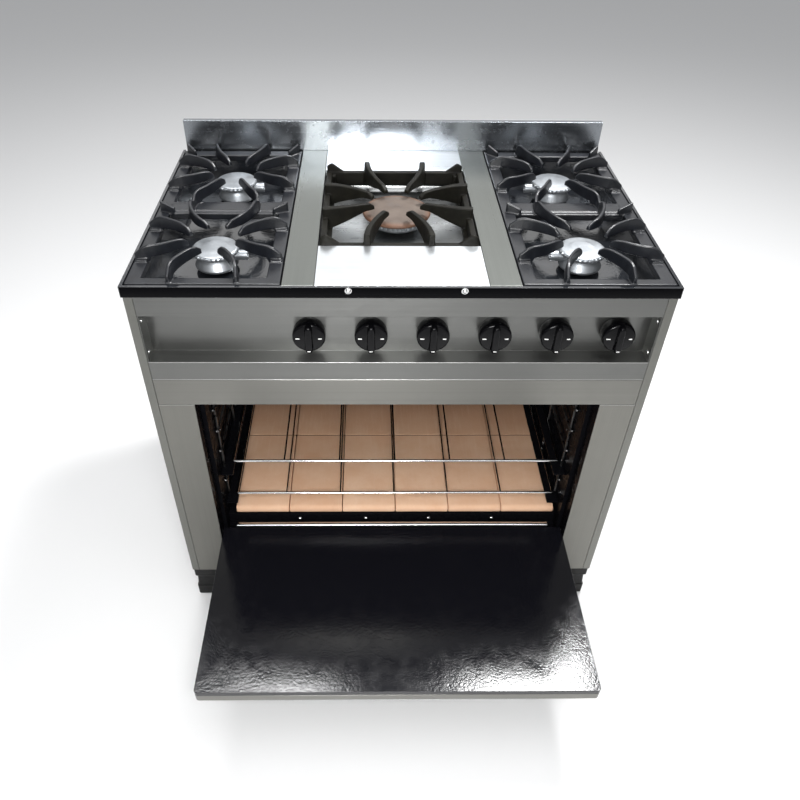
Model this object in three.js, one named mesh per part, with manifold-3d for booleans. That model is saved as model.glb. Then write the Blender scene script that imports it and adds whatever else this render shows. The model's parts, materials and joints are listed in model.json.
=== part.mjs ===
// A freestanding commercial gas range: two open burners under a cast grate on each side, one
// large burner under a square grate in the middle, and a brick-floored oven below.
// Millimetres, +Z up, the front faces -Y. The oven door is drawn open, lying level.
import * as THREE from 'three';
import { mergeVertices } from 'three/addons/utils/BufferGeometryUtils.js';
import Module from 'manifold-3d';

const wasm = await Module();
wasm.setup();

// ---------------------------------------------------------------- driving dimensions
const WIDTH = 900; // worktop, side to side
const DECK_Z = 836; // cooking deck above the floor
const SPLASH_Z = 898; // top of the backsplash
const LEG_Z = 92; // underside of the body
const BODY_DEPTH = 590; // front face to rear face
const DECK_DEPTH = 546; // front face to the backsplash
const SHEET = 1.5; // sheet steel
const GAP = 0.4; // clearance between pieces that touch

// Front of the body
const BODY_X = WIDTH / 2 - 2; // outer face of a side panel
const POST_W = 15; // front flange of a side panel
const FRONT_X = BODY_X - POST_W - GAP; // half width of the front panels
const OPENING_X = 368; // half width of the oven opening
const OPENING_TOP_Z = 586;
const JAMB_DEPTH = 30; // return of a front column beside the oven
const LIP_Z = 644; // underside of the control panel
const LEDGE_Z = 683; // ledge in front of the knobs
const RECESS_TOP_Z = 778;
const RECESS_Y = 35; // depth of the knob recess
const KICK_TOP_Z = 174;

// Worktop
const BAND_H = 20; // enamelled front edge of the worktop
const BAND_T = 5;
const BAND_OVERHANG = 3;
const PAN_T = 2; // pressed enamelled sheet
const PAN_DECK_DROP = 14; // pressed deck below the top of the band
const PAN_Z = 788; // floor of the burner wells
const STRIP_X = { inner: 141, outer: 193 }; // steel strips beside the middle plates
const PLATE_SKIRT = 13;
const WELL_Y = { front: 131, rear: 445 }; // opening between the middle plates
const CENTER_Y = (WELL_Y.front + WELL_Y.rear) / 2;
const SPLASH_X = 442;
const SPLASH_T = 12; // fold along the top of the backsplash

// Grates
const GRATE_X = 319.5; // centre of a side grate
const GRATE_Y = { front: 136, rear: 407 }; // burner rows
const GRATE_HALF_W = 124.2;
const GRATE_ENDS = [7, 540];
const GRATE_FRAME_T = 12;
const WINDOW_HALF_W = 101;
const WINDOWS_Y = [[25, 249], [298, 516]];
const FINGER = { t: 9, rootSpread: 54, tipReach: 41, tipSpread: 15, clear: 4 };
const BOW_X = 60; // widest point of the two bowed blades over the crossbar
const EMBED = 6; // how far a blade sinks into its frame
const CENTER_BAR = 11;
const CENTER_DEPTH = 27; // height of the middle grate's frame
const CENTER_FINGER = { t: 12, sideRoot: 50, endRoot: 56, tipReach: 44, tipSpread: 19 };
const CENTER_LEG = 18;

// Burners and gas train
const BURNER_HOLE_R = 22;
const NECK_R = 17; // neck of a burner where it passes through the well floor
const TUBE_R = 15; // mixing tube
const TUBE_FRONT_Y = 104;
const TUBE_Z = { front: 766, rear: 726, center: 758 };
const TRAY_T = 1.5;
const TRAY_TOP_Z = PAN_Z + PAN_T + GAP + TRAY_T;
const CENTER_HEAD_Z = 817; // top of the middle burner, under its cap
const MANIFOLD_Y = 80;
const PIPE_R = 11;
const INLET = { x: 412, boreR: 9, nutR: 14, holeR: 17 };

// Knobs
const KNOB_Z = 729.5;
const KNOB_FIRST_X = -154.6;
const KNOB_PITCH = 105.4;
const KNOB_COUNT = 6;
const KNOB_R = 28.5;
const KNOB_FACE_Y = 5; // front face of the drum
const KNOB_BAR = { frontY: -3, halfW: 7 };
const SPINDLE_R = 4;

// Oven
const OVEN_X = 360; // half width inside the oven
const OVEN_FRONT_Y = 34;
const OVEN_BACK_Y = 557;
const OVEN_FLOOR_Z = 217.6; // under the bricks
const OVEN_T = 2;
const OVEN_TOP_Z = OPENING_TOP_Z + 2;
const SILL_Z = 187; // underside of the channel along the oven mouth
const SILL_LIP = { x: 340, w: 9, topZ: 205 };
const BRICK = { w: 115, l: 229, h: 20, joint: 1 };
const BRICK_PITCH = BRICK.w + BRICK.joint;
const BRICK_Y = 56; // front of the bricks and face of the step under them
const LOAD_X = 6; // bricks and racks sit a little right of centre
const RACK_Z = { lower: 255, upper: 343 };
const RACK_Y = { lower: 84, upper: 96 };
const RACK_REAR_Y = 545;
const RACK_X = 347; // half width between a rack's side wires
const RACK_WIRE = 3; // radius of a rack's border wire
const RACK_PITCH = 117.5;

// Door, drawn open
const DOOR_W = 733;
const DOOR_L = 376;
const DOOR_T = 28;
const DOOR_CORNER_R = 7;
const LINER_RIM = 11; // depth of the enamelled half of the door
const HINGE_Y = 22;
const HINGE_Z = 200;
const HINGE_PIN_R = 4;
const DOOR_NEAR_Y = HINGE_Y + 4; // hinge-side edge of the open door
const DOOR_FAR_Y = DOOR_NEAR_Y - DOOR_L;
const DOOR_TOP_Z = HINGE_Z + 9; // inner face of the open door
const DOOR_OUTER_Z = DOOR_TOP_Z - DOOR_T;
const HANDLE = { halfL: 270, r: 11, fromEdge: 34, below: 45, postInset: 28, postR: 8 };

// Legs
const LEG_X = 416;
const LEG_INSET = 32; // leg centre behind the front face, and ahead of the rear face

// The drawn frame is centred under the whole object, open door included.
const CENTRE_SHIFT_Y = -(DOOR_FAR_Y + BODY_DEPTH) / 2;

// ---------------------------------------------------------------- finishes
const FINISH = {
  stainless: { color: 0x8c8c86, roughness: 0.34, metalness: 1 },
  polished: { color: 0xc9cdd0, roughness: 0.14, metalness: 1 },
  galvanised: { color: 0x9a9d9f, roughness: 0.5, metalness: 1 },
  enamel: { color: 0x0c0c0f, roughness: 0.16, metalness: 0 },
  castGrey: { color: 0x3b3f46, roughness: 0.45, metalness: 0.3 },
  castBlack: { color: 0x2c2b24, roughness: 0.7, metalness: 0.2 },
  aluminium: { color: 0xc4c9ce, roughness: 0.42, metalness: 1 },
  burntCap: { color: 0x957c70, roughness: 0.6, metalness: 0.5 },
  plastic: { color: 0x08080a, roughness: 0.12, metalness: 0 },
  brass: { color: 0xa8843c, roughness: 0.4, metalness: 1 },
  brick: { color: 0xb98b70, roughness: 0.95, metalness: 0 },
  chrome: { color: 0xd6d6d6, roughness: 0.12, metalness: 1 },
  legBlack: { color: 0x121212, roughness: 0.6, metalness: 0 },
};

const range = new THREE.Group();
range.position.y = CENTRE_SHIFT_Y;

function addPiece(name, geometry, finish) {
  const mesh = new THREE.Mesh(geometry, new THREE.MeshStandardMaterial(FINISH[finish]));
  mesh.name = name;
  range.add(mesh);
}

// ---------------------------------------------------------------- shape helpers
function toManifold(geometry) {
  const bare = geometry.clone();
  bare.deleteAttribute('normal');
  bare.deleteAttribute('uv');
  const merged = mergeVertices(bare, 1e-3);
  const vertProperties = new Float32Array(merged.attributes.position.array);
  const triVerts = new Uint32Array(merged.index.array);
  return new wasm.Manifold(new wasm.Mesh({ numProp: 3, vertProperties, triVerts }));
}

function fromManifold(solid) {
  const mesh = solid.getMesh();
  const geometry = new THREE.BufferGeometry();
  geometry.setAttribute('position', new THREE.BufferAttribute(mesh.vertProperties, 3));
  geometry.setIndex(new THREE.BufferAttribute(mesh.triVerts, 1));
  geometry.computeVertexNormals();
  return geometry;
}

function join(geometries) {
  const solids = geometries.map(toManifold);
  return fromManifold(solids.reduce((whole, next) => whole.add(next)));
}

function cut(geometry, tools) {
  const solids = tools.map(toManifold);
  return fromManifold(solids.reduce((whole, next) => whole.subtract(next), toManifold(geometry)));
}

function inOrder(a, b) {
  return [Math.min(a, b), Math.max(a, b)];
}

function grown([a, b], margin) {
  return [a - margin, b + margin];
}

// A box between two corners.
function block([x0, x1], [y0, y1], [z0, z1]) {
  const geometry = new THREE.BoxGeometry(x1 - x0, y1 - y0, z1 - z0);
  return geometry.translate((x0 + x1) / 2, (y0 + y1) / 2, (z0 + z1) / 2);
}

function outline(points) {
  return new THREE.Shape(points.map(([u, v]) => new THREE.Vector2(u, v)));
}

function rectanglePath([x0, x1], [y0, y1]) {
  return outline([[x0, y0], [x1, y0], [x1, y1], [x0, y1]]);
}

function extrude(shape, depth, curveSegments = 8) {
  return new THREE.ExtrudeGeometry(shape, { depth, bevelEnabled: false, curveSegments });
}

// A plan outline (x, y) raised from z0 to z1.
function raise(shape, z0, z1, curveSegments) {
  return extrude(shape, z1 - z0, curveSegments).translate(0, 0, z0);
}

// A side-on section (y, z) run along X.
function runAlongX(points, x0, x1) {
  const turned = new THREE.Matrix4().makeBasis(
    new THREE.Vector3(0, 1, 0), new THREE.Vector3(0, 0, 1), new THREE.Vector3(1, 0, 0));
  return extrude(outline(points), x1 - x0).applyMatrix4(turned).translate(x0, 0, 0);
}

// A turned shape about a vertical axis, from a profile of [radius, z].
function turn(profile, x, y, sides = 24) {
  const points = profile.map(([r, z]) => new THREE.Vector2(r, z));
  return new THREE.LatheGeometry(points, sides).rotateX(Math.PI / 2).translate(x, y, 0);
}

function rodAlongX(x0, x1, y, z, radius, sides = 10) {
  const geometry = new THREE.CylinderGeometry(radius, radius, x1 - x0, sides).rotateZ(Math.PI / 2);
  return geometry.translate((x0 + x1) / 2, y, z);
}

function rodAlongY(x, y0, y1, z, radius, sides = 10) {
  const geometry = new THREE.CylinderGeometry(radius, radius, y1 - y0, sides);
  return geometry.translate(x, (y0 + y1) / 2, z);
}

function rodAlongZ(x, y, z0, z1, radius, sides = 12) {
  return turn([[0, z0], [radius, z0], [radius, z1], [0, z1]], x, y, sides);
}

function mirrorX(geometry) {
  const flipped = geometry.index ? geometry.toNonIndexed() : geometry.clone();
  const position = flipped.attributes.position;
  for (let i = 0; i < position.count; i += 3) {
    const corners = [0, 2, 1].map((k) => new THREE.Vector3().fromBufferAttribute(position, i + k));
    corners.forEach((p, k) => position.setXYZ(i + k, -p.x, p.y, p.z));
  }
  flipped.computeVertexNormals();
  return flipped;
}

// Adds a left-hand piece and its mirror image.
function addPair(name, geometry, finish) {
  addPiece(`${name}_left`, geometry, finish);
  addPiece(`${name}_right`, mirrorX(geometry), finish);
}

// ---------------------------------------------------------------- body panels
const BODY_TOP_Z = DECK_Z - BAND_H - GAP;

function sidePanel() {
  const inner = -BODY_X + SHEET;
  const flange = -BODY_X + POST_W;
  const section = outline([
    [-BODY_X, 0], [flange, 0], [flange, SHEET], [inner, SHEET],
    [inner, BODY_DEPTH - SHEET], [flange, BODY_DEPTH - SHEET], [flange, BODY_DEPTH],
    [-BODY_X, BODY_DEPTH],
  ]);
  return raise(section, LEG_Z, BODY_TOP_Z);
}

// A channel: front face, a return beside the oven with the hinge hole, and a short outer return.
function frontColumn() {
  const outerReturn = 20;
  const x0 = -FRONT_X;
  const x1 = -OPENING_X;
  const section = outline([
    [x0, 0], [x1, 0], [x1, JAMB_DEPTH], [x1 - SHEET, JAMB_DEPTH], [x1 - SHEET, SHEET],
    [x0 + SHEET, SHEET], [x0 + SHEET, outerReturn], [x0, outerReturn],
  ]);
  const column = raise(section, LEG_Z, OPENING_TOP_Z);
  return cut(column, [rodAlongX(x1 - 5, x1 + 5, HINGE_Y, HINGE_Z, HINGE_PIN_R + 1.5)]);
}

function headerPanel() {
  const z0 = OPENING_TOP_Z + GAP;
  const z1 = LIP_Z - GAP;
  const returnDepth = 22;
  const section = [
    [0, z0], [returnDepth, z0], [returnDepth, z0 + SHEET], [SHEET, z0 + SHEET],
    [SHEET, z1 - SHEET], [returnDepth, z1 - SHEET], [returnDepth, z1], [0, z1],
  ];
  return runAlongX(section, -FRONT_X, FRONT_X);
}

function knobX(index) {
  return KNOB_FIRST_X + index * KNOB_PITCH;
}

// One folded sheet: lower lip, ledge, back of the recess, soffit and upper lip, closed at its ends.
function controlPanel() {
  const t = SHEET;
  const section = [
    [0, LIP_Z], [t, LIP_Z], [t, LEDGE_Z - t], [RECESS_Y + t, LEDGE_Z - t],
    [RECESS_Y + t, RECESS_TOP_Z + t], [t, RECESS_TOP_Z + t], [t, BODY_TOP_Z], [0, BODY_TOP_Z],
    [0, RECESS_TOP_Z], [RECESS_Y, RECESS_TOP_Z], [RECESS_Y, LEDGE_Z], [0, LEDGE_Z],
  ];
  const sheet = runAlongX(section, -FRONT_X, FRONT_X);
  const ends = [-FRONT_X, FRONT_X - t].map((x) =>
    block([x, x + t], [t / 2, RECESS_Y + t / 2], [LEDGE_Z - t / 2, RECESS_TOP_Z + t / 2]));
  const holes = [];
  for (let i = 0; i < KNOB_COUNT; i += 1) {
    holes.push(rodAlongY(knobX(i), RECESS_Y - 5, RECESS_Y + 5, KNOB_Z, SPINDLE_R + 3));
  }
  return cut(join([sheet, ...ends]), holes);
}

function basePanel() {
  const floorZ = [LEG_Z + GAP, LEG_Z + GAP + SHEET];
  const kickX = OPENING_X - GAP;
  const floor = block([-FRONT_X, FRONT_X], [JAMB_DEPTH + 1, BODY_DEPTH - 2 * SHEET], floorZ);
  const kick = block([-kickX, kickX], [0, SHEET], [LEG_Z + GAP, KICK_TOP_Z]);
  const tongue = block([-kickX, kickX], [0, JAMB_DEPTH + 2], floorZ);
  return join([floor, tongue, kick]);
}

// Rear sheet with two rows of flue slots and a hole for the gas inlet.
function backPanel() {
  const slot = { r: 4, halfL: 26, pitch: 90, rows: [540, 640] };
  const shape = rectanglePath([-FRONT_X, FRONT_X], [LEG_Z, BODY_TOP_Z]);
  for (let column = -2; column <= 2; column += 1) {
    for (const z of slot.rows) {
      const hole = new THREE.Path();
      hole.absarc(column * slot.pitch, z + slot.halfL, slot.r, 0, Math.PI, false);
      hole.absarc(column * slot.pitch, z - slot.halfL, slot.r, Math.PI, 2 * Math.PI, false);
      shape.holes.push(hole);
    }
  }
  const inlet = new THREE.Path();
  inlet.absarc(INLET.x, KNOB_Z, INLET.holeR, 0, 2 * Math.PI, false);
  shape.holes.push(inlet);
  return extrude(shape, SHEET, 3).rotateX(Math.PI / 2).translate(0, BODY_DEPTH, 0);
}

// ---------------------------------------------------------------- worktop
// Pressed enamelled top: a band all round, a deck below its edge and three burner wells.
function worktopPan() {
  const half = WIDTH / 2;
  const deckTop = DECK_Z - PAN_DECK_DROP;
  const insideX = [-half + BAND_T, half - BAND_T];
  const insideY = [-BAND_OVERHANG + BAND_T, DECK_DEPTH + 10];
  const outer = block([-half, half], [-BAND_OVERHANG, DECK_DEPTH], [DECK_Z - BAND_H, DECK_Z]);
  const above = block(insideX, insideY, [deckTop, DECK_Z + 10]);
  const under = block(insideX, insideY, [DECK_Z - BAND_H - 10, deckTop - PAN_T]);
  const sideWellY = [18, 524];
  const wells = [
    [[-GRATE_X - 103, -GRATE_X + 103], sideWellY],
    [[GRATE_X - 103, GRATE_X + 103], sideWellY],
    [[-STRIP_X.inner + 2, STRIP_X.inner - 2], [WELL_Y.front + 1, WELL_Y.rear - 1]],
  ];
  const shells = wells.map(([x, y]) =>
    block(grown(x, PAN_T), grown(y, PAN_T), [PAN_Z, deckTop - PAN_T / 2]));
  const hollows = wells.map(([x, y]) => block(x, y, [PAN_Z + PAN_T, DECK_Z]));
  const holes = burnerPlaces().map(({ x, y }) =>
    rodAlongZ(x, y, PAN_Z - 5, PAN_Z + 5, BURNER_HOLE_R, 16));
  const top = join([cut(outer, [above, under]), ...shells]);
  return cut(top, [...hollows, ...holes]);
}

// A sheet plate whose edges turn down onto the deck.
function deckPlate(x, y) {
  const plate = block(x, y, [DECK_Z - PLATE_SKIRT, DECK_Z]);
  const hollow = block(grown(x, -SHEET), grown(y, -SHEET),
    [DECK_Z - PLATE_SKIRT - 1, DECK_Z - SHEET]);
  return cut(plate, [hollow]);
}

// One folded sheet: an upright with a hemmed top, and a shelf with a rear lip behind it.
function backsplash() {
  const t = SHEET;
  const hem = 14;
  const front = DECK_DEPTH + GAP;
  const behind = front + SPLASH_T;
  const rear = BODY_DEPTH;
  const bottom = DECK_Z - BAND_H;
  const shelf = DECK_Z - 2;
  const section = [
    [front, bottom], [front + t, bottom], [front + t, shelf - t], [rear - t, shelf - t],
    [rear - t, bottom], [rear, bottom], [rear, shelf], [front + t, shelf],
    [front + t, SPLASH_Z - t], [behind - t, SPLASH_Z - t], [behind - t, SPLASH_Z - hem],
    [behind, SPLASH_Z - hem], [behind, SPLASH_Z], [front, SPLASH_Z],
  ];
  const ends = [-SPLASH_X, SPLASH_X - t].flatMap((x) => [
    block([x, x + t], [front, rear], [bottom, shelf]),
    block([x, x + t], [front, behind], [bottom, SPLASH_Z]),
  ]);
  return join([runAlongX(section, -SPLASH_X, SPLASH_X), ...ends]);
}

// ---------------------------------------------------------------- grates
// Height of a finger's top edge above the frame, from root (0) to tip (1).
const FINGER_PROFILE = [[0, 12], [0.07, 17], [0.15, 23], [0.26, 26], [0.78, 24], [0.91, 21], [1, 14]];
const FINGER_STATIONS = [0, 0.07, 0.15, 0.26, 0.4, 0.6, 0.78, 0.91, 1];

function fingerTop(s) {
  for (let i = 1; i < FINGER_PROFILE.length; i += 1) {
    const [s0, h0] = FINGER_PROFILE[i - 1];
    const [s1, h1] = FINGER_PROFILE[i];
    if (s <= s1) {
      return h0 + ((h1 - h0) * (s - s0)) / (s1 - s0);
    }
  }
  return FINGER_PROFILE[FINGER_PROFILE.length - 1][1];
}

// A vertical blade that follows a plan curve. lowAt and topAt give its edges' heights.
function blade(curve, stations, thickness, lowAt, topAt) {
  const positions = [];
  const indices = [];
  stations.forEach((s) => {
    const p = curve.getPointAt(s);
    const t = curve.getTangentAt(s);
    const side = new THREE.Vector2(-t.y, t.x).multiplyScalar(thickness / 2);
    const low = lowAt(s, p);
    const top = topAt(s, p);
    positions.push(p.x - side.x, p.y - side.y, low, p.x - side.x, p.y - side.y, top);
    positions.push(p.x + side.x, p.y + side.y, top, p.x + side.x, p.y + side.y, low);
  });
  const last = 4 * (stations.length - 1);
  indices.push(0, 1, 2, 0, 2, 3, last, last + 2, last + 1, last, last + 3, last + 2);
  for (let ring = 0; ring < last; ring += 4) {
    for (let k = 0; k < 4; k += 1) {
      const a = ring + k;
      const b = ring + ((k + 1) % 4);
      indices.push(b, a, a + 4, b, a + 4, b + 4);
    }
  }
  const geometry = new THREE.BufferGeometry();
  geometry.setAttribute('position', new THREE.Float32BufferAttribute(positions, 3));
  geometry.setIndex(indices);
  return geometry;
}

// A plan curve that leaves its bar squarely and bends towards the burner after part of its way.
function bentCurve([x0, y0], [x1, y1], along, bend) {
  const knee = along === 'x' ? [x0 + (x1 - x0) * bend, y0] : [x0, y0 + (y1 - y0) * bend];
  return new THREE.QuadraticBezierCurve(
    new THREE.Vector2(x0, y0), new THREE.Vector2(...knee), new THREE.Vector2(x1, y1));
}

// A finger of a side grate: it clears the window's edge and sinks into the frame elsewhere.
function sideFinger(curve) {
  const overWindow = (p) => Math.abs(p.x) < WINDOW_HALF_W
    && WINDOWS_Y.some(([a, b]) => p.y > a && p.y < b);
  const lowAt = (s, p) => DECK_Z + (overWindow(p) ? FINGER.clear : -EMBED);
  return blade(curve, FINGER_STATIONS, FINGER.t, lowAt, (s) => DECK_Z + fingerTop(s));
}

// Two fingers that start back to back on the crossbar and bow round to the two burners.
function bowedFingers(side) {
  const middle = (WINDOWS_Y[0][1] + WINDOWS_Y[1][0]) / 2;
  const front = GRATE_Y.front + FINGER.tipReach;
  const rear = GRATE_Y.rear - FINGER.tipReach;
  const toFront = [[BOW_X, middle + 2], [BOW_X, middle - 14], [BOW_X * 0.89, middle - 47],
    [BOW_X * 0.6, front + 16], [FINGER.tipSpread, front]];
  const toRear = [[BOW_X, middle - 2], [BOW_X * 0.94, middle + 16], [BOW_X * 0.65, middle + 44],
    [FINGER.tipSpread, rear]];
  return [toFront, toRear].map((points) =>
    sideFinger(new THREE.SplineCurve(points.map(([x, y]) => new THREE.Vector2(side * x, y)))));
}

// A short raised rib on the frame.
function nub([x0, y0], [x1, y1]) {
  const curve = new THREE.LineCurve(new THREE.Vector2(x0, y0), new THREE.Vector2(x1, y1));
  return blade(curve, [0, 1], FINGER.t, () => DECK_Z - EMBED, (s) => DECK_Z + 19 - 9 * s);
}

// One side grate, drawn about x = 0: a frame with two windows, fingers, bows and nubs.
function sideGrate() {
  const [y0, y1] = GRATE_ENDS;
  const bend = 0.5;
  const shape = rectanglePath([-GRATE_HALF_W, GRATE_HALF_W], [y0, y1]);
  WINDOWS_Y.forEach((y) => shape.holes.push(rectanglePath([-WINDOW_HALF_W, WINDOW_HALF_W], y)));
  const pieces = [raise(shape, DECK_Z - GRATE_FRAME_T, DECK_Z)];
  for (const side of [-1, 1]) {
    for (const yc of [GRATE_Y.front, GRATE_Y.rear]) {
      for (const row of [-1, 1]) {
        const root = [side * (GRATE_HALF_W - 0.5), yc + row * FINGER.rootSpread];
        const tip = [side * FINGER.tipReach, yc + row * FINGER.tipSpread];
        pieces.push(sideFinger(bentCurve(root, tip, 'x', bend)));
      }
    }
    const frontTip = [side * FINGER.tipSpread, GRATE_Y.front - FINGER.tipReach];
    const rearTip = [side * FINGER.tipSpread, GRATE_Y.rear + FINGER.tipReach];
    pieces.push(sideFinger(bentCurve([side * FINGER.rootSpread, y0 + 1], frontTip, 'y', bend)));
    pieces.push(sideFinger(bentCurve([side * FINGER.rootSpread, y1 - 1], rearTip, 'y', bend)));
    pieces.push(...bowedFingers(side));
    pieces.push(nub([side * (GRATE_HALF_W - 7), 262], [side * (GRATE_HALF_W - 34), 252]));
    pieces.push(nub([side * (GRATE_HALF_W - 5), y1 - 5], [side * (GRATE_HALF_W - 26), y1 - 25]));
  }
  return join(pieces);
}

// A finger of the middle grate: deep at its bar, rising clear of the burner cap at its tip.
function centerFinger(from, to, along) {
  const lowAt = (s) => DECK_Z - 25 + 27 * Math.min(1, s * 1.25);
  const topAt = (s) => DECK_Z + 19 - 5 * s * s - 60 * Math.max(0, s - 0.9);
  const curve = bentCurve(from, to, along, 0.4);
  return blade(curve, [0, 0.25, 0.5, 0.75, 0.9, 1], CENTER_FINGER.t, lowAt, topAt);
}

// A raised lug on a corner of the middle grate, sloping down along the bar.
function cornerLug(x0, x1, y) {
  const curve = new THREE.LineCurve(new THREE.Vector2(x0, y), new THREE.Vector2(x1, y));
  const topAt = (s) => DECK_Z + (s < 0.3 ? 12 + 20 * s : 18 * (1 - (s - 0.3) / 0.7) + 1);
  return blade(curve, [0, 0.3, 1], 10, () => DECK_Z - 5, topAt);
}

// The middle grate: a deep square frame on four legs, with two fingers from each side.
function centerGrate() {
  const halfX = STRIP_X.inner - 2 - 2 * GAP;
  const halfY = (WELL_Y.rear - WELL_Y.front) / 2 - 1 - 2 * GAP;
  const { sideRoot, endRoot, tipReach, tipSpread } = CENTER_FINGER;
  const shape = rectanglePath([-halfX, halfX], [-halfY, halfY]);
  shape.holes.push(rectanglePath(grown([-halfX, halfX], -CENTER_BAR),
    grown([-halfY, halfY], -CENTER_BAR)));
  const pieces = [raise(shape, DECK_Z - CENTER_DEPTH, DECK_Z)];
  for (const a of [-1, 1]) {
    for (const b of [-1, 1]) {
      const sideTip = [a * tipReach, b * tipSpread];
      const endTip = [a * tipSpread, b * tipReach];
      pieces.push(centerFinger([a * (halfX - 1), b * sideRoot], sideTip, 'x'));
      pieces.push(centerFinger([a * endRoot, b * (halfY - 1)], endTip, 'y'));
      const legX = inOrder(a * halfX, a * (halfX - CENTER_LEG));
      const legY = inOrder(b * halfY, b * (halfY - CENTER_LEG));
      pieces.push(block(legX, legY, [TRAY_TOP_Z + GAP, DECK_Z - 5]));
      pieces.push(cornerLug(a * (halfX - 1), a * (halfX - 34), b * (halfY - 6)));
    }
  }
  return join(pieces).translate(0, CENTER_Y, 0);
}

// ---------------------------------------------------------------- burners
function burnerPlaces() {
  return [
    { name: 'burner_front_left', x: -GRATE_X, y: GRATE_Y.front, tubeZ: TUBE_Z.front },
    { name: 'burner_rear_left', x: -GRATE_X, y: GRATE_Y.rear, tubeZ: TUBE_Z.rear },
    { name: 'burner_front_right', x: GRATE_X, y: GRATE_Y.front, tubeZ: TUBE_Z.front },
    { name: 'burner_rear_right', x: GRATE_X, y: GRATE_Y.rear, tubeZ: TUBE_Z.rear },
    { name: 'burner_center', x: 0, y: CENTER_Y, tubeZ: TUBE_Z.center },
  ];
}

// Cast neck and the mixing tube that runs forward from it.
function burnerThroat(x, y, tubeZ) {
  const neckTop = PAN_Z + 12;
  const neck = rodAlongZ(x, y, tubeZ - TUBE_R, neckTop, NECK_R, 16);
  const tube = rodAlongY(x, TUBE_FRONT_Y, y, tubeZ, TUBE_R, 16);
  const bell = rodAlongY(x, TUBE_FRONT_Y - 6, TUBE_FRONT_Y + 12, tubeZ, TUBE_R + 4, 16);
  return [neck, tube, bell];
}

// Side burner: mushroom head on a flared skirt, with an ignition boss towards the middle.
function sideBurner({ x, y, tubeZ }) {
  const head = turn([
    [0, 796], [36, 796], [37, 801], [29, 812], [30, 818], [40, 822], [41, 827], [37, 831],
    [0, 832],
  ], x, y, 20);
  const boss = { z: 815, r: 9, reach: [20, 56] };
  const inward = -Math.sign(x);
  const bossX = inOrder(x + inward * boss.reach[0], x + inward * boss.reach[1]);
  return join([head, rodAlongX(...bossX, y, boss.z, boss.r), ...burnerThroat(x, y, tubeZ)]);
}

function centerBurner({ x, y, tubeZ }) {
  const head = turn([[0, 798], [38, 798], [52, 804], [55, CENTER_HEAD_Z], [0, CENTER_HEAD_Z]],
    x, y, 24);
  return join([head, ...burnerThroat(x, y, tubeZ)]);
}

function burnerCap() {
  const seat = CENTER_HEAD_Z + GAP;
  return turn([[0, seat], [62, seat], [65, seat + 3], [63, seat + 8], [52, seat + 10],
    [0, seat + 11]], 0, CENTER_Y, 28);
}

function centerTray() {
  const edge = 1;
  const plate = block([-STRIP_X.inner + 2 + edge, STRIP_X.inner - 2 - edge],
    [WELL_Y.front + 1 + edge, WELL_Y.rear - 1 - edge], [TRAY_TOP_Z - TRAY_T, TRAY_TOP_Z]);
  return cut(plate, [rodAlongZ(0, CENTER_Y, PAN_Z, PAN_Z + 10, BURNER_HOLE_R, 16)]);
}

// ---------------------------------------------------------------- gas train and knobs
// Front manifold with one tap behind each knob, and the pipe that runs back to the inlet.
function gasManifold() {
  const tap = { r: 13, frontY: RECESS_Y + SHEET + 8 };
  const nutL = 26;
  const boreL = 20;
  const pieces = [
    rodAlongX(KNOB_FIRST_X - 60, INLET.x + PIPE_R, MANIFOLD_Y, KNOB_Z, PIPE_R),
    rodAlongY(INLET.x, MANIFOLD_Y, BODY_DEPTH, KNOB_Z, PIPE_R),
    rodAlongY(INLET.x, BODY_DEPTH - nutL, BODY_DEPTH, KNOB_Z, INLET.nutR, 6),
  ];
  for (let i = 0; i < KNOB_COUNT; i += 1) {
    pieces.push(rodAlongY(knobX(i), tap.frontY, MANIFOLD_Y, KNOB_Z, tap.r, 10));
  }
  const bore = rodAlongY(INLET.x, BODY_DEPTH - boreL, BODY_DEPTH + 5, KNOB_Z, INLET.boreR);
  return cut(join(pieces), [bore]);
}

// A thick round knob with a bar across its face, and the spindle that reaches the tap.
function knob(x) {
  const back = RECESS_Y - 1.5;
  const drum = new THREE.LatheGeometry([
    [0, KNOB_FACE_Y + 1.5], [KNOB_R - 6, KNOB_FACE_Y + 1.5], [KNOB_R - 3, KNOB_FACE_Y],
    [KNOB_R - 0.5, KNOB_FACE_Y + 4], [KNOB_R, back - 6], [KNOB_R - 1, back], [0, back],
  ].map(([r, y]) => new THREE.Vector2(r, y)), 24);
  const front = KNOB_BAR.frontY;
  const bar = runAlongX([
    [KNOB_FACE_Y + 4, -KNOB_R + 1.5], [front + 2.5, -KNOB_R + 3], [front, -KNOB_R + 6],
    [front, KNOB_R - 6], [front + 2.5, KNOB_R - 3], [KNOB_FACE_Y + 4, KNOB_R - 1.5],
  ], -KNOB_BAR.halfW, KNOB_BAR.halfW);
  const spindle = rodAlongY(0, back - 2, RECESS_Y + SHEET + 7.2, 0, SPINDLE_R);
  return join([drum, bar, spindle]).translate(x, 0, KNOB_Z);
}

// ---------------------------------------------------------------- oven
// Enamelled side wall with two rack runners and a flange behind the front column.
function ovenSide() {
  const runner = { inner: -RACK_X + LOAD_X + 4, frontY: 60, h: 3.6 };
  const flange = { w: 16, y: 32.6 };
  const wall = block([-OVEN_X - OVEN_T, -OVEN_X], [flange.y, OVEN_BACK_Y - GAP],
    [SILL_Z, OVEN_TOP_Z]);
  const front = block([-OVEN_X - flange.w, -OVEN_X], [flange.y, flange.y + OVEN_T],
    [SILL_Z, OVEN_TOP_Z]);
  const runners = [RACK_Z.lower, RACK_Z.upper].map((z) => {
    const top = z - RACK_WIRE - GAP;
    return block([-OVEN_X - 1, runner.inner], [runner.frontY, OVEN_BACK_Y - 8],
      [top - runner.h, top]);
  });
  return join([wall, front, ...runners]);
}

function ovenBack() {
  return block([-OVEN_X + GAP, OVEN_X - GAP], [OVEN_BACK_Y, OVEN_BACK_Y + OVEN_T],
    [SILL_Z, OVEN_TOP_Z]);
}

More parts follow.
